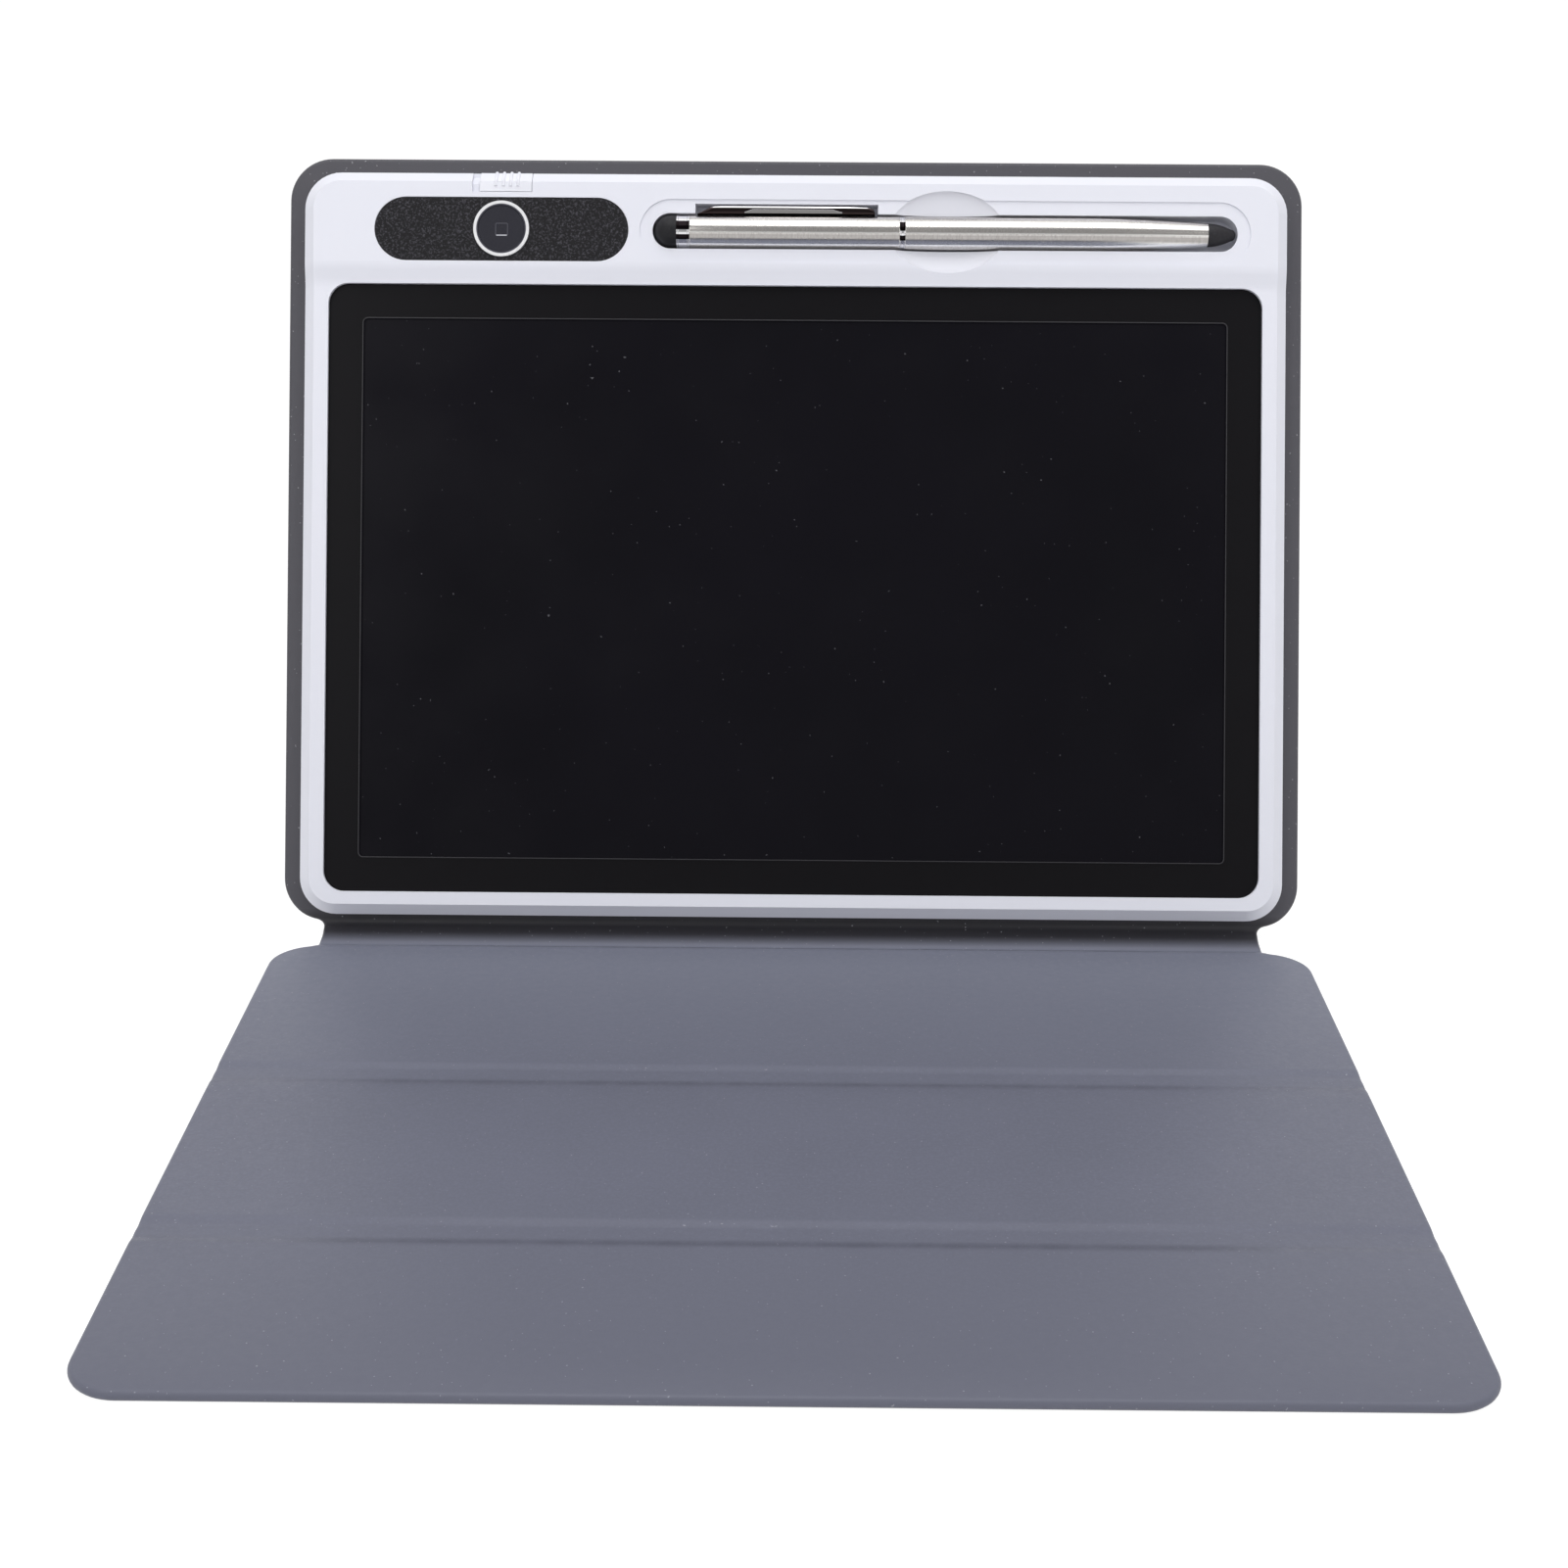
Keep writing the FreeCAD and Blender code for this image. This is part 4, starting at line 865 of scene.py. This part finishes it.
def floor():
    """A white floor: what the camera sees is lifted to white and keeps only the contact shadow."""
    finish = bpy.data.materials.new("studio_floor")
    nodes = Nodes(finish, "ShaderNodeOutputMaterial")
    diffuse = nodes.add("BsdfDiffuse", Color=(0.8, 0.8, 0.81, 1))[0]
    shade = nodes.add("BsdfDiffuse", Color=(0.2, 0.2, 0.2, 1))[0]
    lift = nodes.add("Emission", Strength=0.92)[0]
    both = nodes.add("AddShader", (0, shade), (1, lift))[0]
    nodes.finish(nodes.mixed(nodes.seen("Is Glossy Ray"), diffuse, both))
    plane = bpy.data.meshes.new("floor")
    size = 6.0
    plane.from_pydata([(-size, -size, 0), (size, -size, 0), (size, size, 0), (-size, size, 0)], [],
                      [(0, 1, 2, 3)])
    plane.materials.append(finish)
    piece = bpy.data.objects.new("floor", plane)
    piece.location.z = -0.0001
    bpy.context.scene.collection.objects.link(piece)


def lamp(name, place, target, size, power):
    """A rectangular lamp that faces its target."""
    data = bpy.data.lights.new(name, "AREA")
    data.shape = "RECTANGLE"
    data.size, data.size_y = size
    data.energy = power
    obj = bpy.data.objects.new(name, data)
    obj.location = place
    obj.rotation_euler = (Vector(target) - Vector(place)).to_track_quat("-Z", "Y").to_euler()
    bpy.context.scene.collection.objects.link(obj)


def camera():
    """The photographed view: lens in mm, place in m, angles in degrees."""
    data = bpy.data.cameras.new("camera")
    data.lens, data.sensor_width = 55.94, 36.0
    data.dof.use_dof = False
    pitch, yaw, roll = math.radians(20.086), math.radians(-0.394), math.radians(0.317)
    forward = Vector((math.sin(yaw) * math.cos(pitch), math.cos(yaw) * math.cos(pitch), -math.sin(pitch)))
    level = forward.cross(Vector((0, 0, 1))).normalized()
    upward = level.cross(forward)
    right = level * math.cos(roll) + upward * math.sin(roll)
    top = upward * math.cos(roll) - level * math.sin(roll)
    obj = bpy.data.objects.new("camera", data)
    turn = Matrix((right, top, -forward)).transposed().to_4x4()
    obj.matrix_world = Matrix.Translation((0.00212, -0.44875, 0.24346)) @ turn
    bpy.context.scene.collection.objects.link(obj)
    bpy.context.scene.camera = obj


world()
floor()
lamp("overhead", (0.0, -0.10, 1.25), (0, 0.05, 0.05), (1.3, 0.9), 8.4)
lamp("front_left", (-0.85, -1.05, 0.85), (0, 0.1, 0.1), (0.8, 0.8), 4.3)
lamp("front_right", (0.95, -0.95, 0.75), (0, 0.1, 0.1), (0.7, 0.7), 3.3)
camera()
bpy.context.scene.view_settings.view_transform = "Standard"
